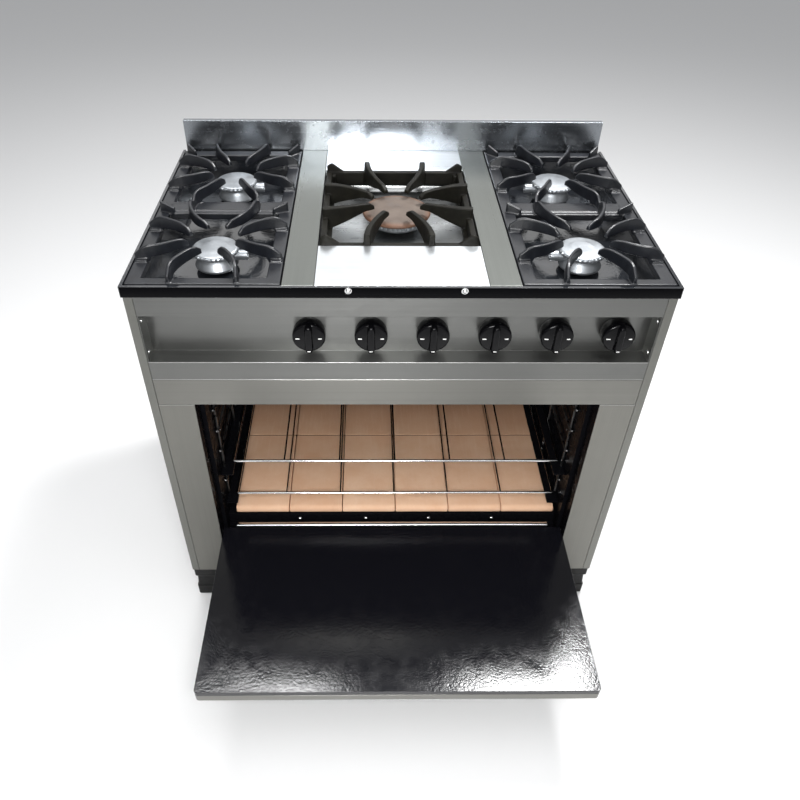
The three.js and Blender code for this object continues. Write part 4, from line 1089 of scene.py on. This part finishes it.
# ---- door
def door():
    refined("door_skin", STEEL_FRONT, 0.7 * MM, 3)
    refined("door_liner", ENAMEL_DOOR, 3.0 * MM, 5)
    for side in ("left", "right"):
        refined(f"door_hinge_{side}", GALVANISED, 0.5 * MM)
    lo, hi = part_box("door_handle")
    cy, cz = lo.y + 11 * MM, lo.z + 11 * MM
    half = (hi.x - lo.x) / 2
    bm = bmesh.new()
    bar = rounded_profile([(0, -half), (11 * MM, -half), (11 * MM, half), (0, half)], 4 * MM, 6)
    add_turned(bm, bar, (0.0, cy, cz), "x", 40)
    for x in (-half + 28 * MM, half - 28 * MM):
        post = [(0, cz), (8 * MM, cz), (8 * MM, hi.z - 7 * MM), (13 * MM, hi.z - 2 * MM),
                (13 * MM, hi.z), (0, hi.z)]
        add_turned(bm, rounded_profile(post, 2.5 * MM), (x, cy, 0.0), "z", 32)
    stand_in("door_handle", "bar", bm, STEEL_BRIGHT, 50.0)


# ---- stage, lights and camera
def stage():
    bm = bmesh.new()
    bmesh.ops.create_grid(bm, x_segments=1, y_segments=1, size=9.0)
    mesh = bpy.data.meshes.new("floor")
    bm.to_mesh(mesh)
    bm.free()
    floor = linked("floor", mesh)
    floor.location.z = -0.5 * MM
    pale = Shade("floor_pale", Roughness=0.85)
    pale.bsdf.inputs["Base Color"].default_value = (0.80, 0.80, 0.80, 1)
    mesh.materials.append(pale.material)


def sky():
    """A soft studio dome: bright above, dimmer towards and under the horizon."""
    world = bpy.data.worlds.new("studio")
    bpy.context.scene.world = world
    world.use_nodes = True
    tree = world.node_tree
    coords, split, ramp = (tree.nodes.new(f"ShaderNode{kind}")
                           for kind in ("TexCoord", "SeparateXYZ", "ValToRGB"))
    tree.links.new(coords.outputs["Generated"], split.inputs[0])
    tree.links.new(split.outputs["Z"], ramp.inputs["Fac"])
    stops = ramp.color_ramp.elements
    stops[0].color = (0.42, 0.42, 0.43, 1)
    stops[1].position, stops[1].color = 0.85, (0.80, 0.82, 0.85, 1)
    stops.new(0.35).color = (1.0, 1.0, 1.0, 1)
    tree.links.new(ramp.outputs["Color"], tree.nodes["Background"].inputs["Color"])
    tree.nodes["Background"].inputs["Strength"].default_value = 0.5


def area_light(name, place, target, size, power):
    light = bpy.data.lights.new(name, "AREA")
    light.shape = "RECTANGLE"
    light.size, light.size_y = size
    light.energy = power
    obj = linked(name, light)
    obj.location = place
    obj.rotation_mode = "QUATERNION"
    aim = Vector(target) - Vector(place)
    obj.rotation_quaternion = aim.to_track_quat("-Z", "Y")


def lights():
    """Ceiling lamps behind, broad pale panels before and behind, and a fill for the oven."""
    area_light("ceiling_soft", (0.1, -0.6, 3.4), (0, 0, 0.6), (2.6, 2.0), 32)
    area_light("lamp_rear_right", (0.80, 0.82, 2.7), (0.2, -0.3, 0.2), (0.55, 0.5), 62)
    area_light("lamp_rear_left", (-0.66, 0.66, 2.7), (-0.2, -0.2, 0.2), (0.9, 0.26), 18)
    area_light("front_panel", (0.0, -3.0, 2.15), (0, 0.3, 0.85), (3.2, 1.2), 18)
    area_light("back_panel", (0.0, 3.0, 2.5), (0, 0.0, 0.85), (3.2, 1.2), 10)
    area_light("oven_fill", (-0.1, -1.15, 1.35), (0, 0.22, 0.24), (0.5, 0.3), 16)


def camera():
    """The photographer stands close, a little left of centre, and looks steeply down."""
    data = bpy.data.cameras.new("camera")
    data.sensor_width = 36.0
    data.lens = 32.74
    data.shift_x = 0.029
    data.clip_start = 0.05
    obj = linked("camera", data)
    yaw, pitch, roll = 0.018, 0.714, 0.012
    ahead = Vector((math.sin(yaw) * math.cos(pitch), math.cos(yaw) * math.cos(pitch),
                    -math.sin(pitch)))
    right = Vector((math.cos(yaw), -math.sin(yaw), 0.0))
    up = right.cross(ahead)
    right, up = (right * math.cos(roll) + up * math.sin(roll),
                 up * math.cos(roll) - right * math.sin(roll))
    turn = Matrix((right, up, -ahead)).transposed()
    place = Vector((-0.0563, FRONT_Y - 0.9915, 1.4568))
    obj.matrix_world = Matrix.Translation(place) @ turn.to_4x4()
    bpy.context.scene.camera = obj


# ---- build
camera()
body_panels()
fasteners()
legs()
worktop()
side_grate("left")
side_grate("right")
centre_grate()
for place in ("front_left", "rear_left", "front_right", "rear_right"):
    side_burner(f"burner_{place}")
middle_burner()
for number in range(1, 7):
    knob(number)
gas_train()
oven_shell()
rack_guides()
for row in ("front", "rear"):
    for number in range(1, 7):
        brick(f"brick_{row}_{number}", number * 7 + len(row))
brick_joints()
rack("rack_lower")
rack("rack_upper")
door()
stage()
sky()
lights()
bpy.context.scene.view_settings.view_transform = "Standard"
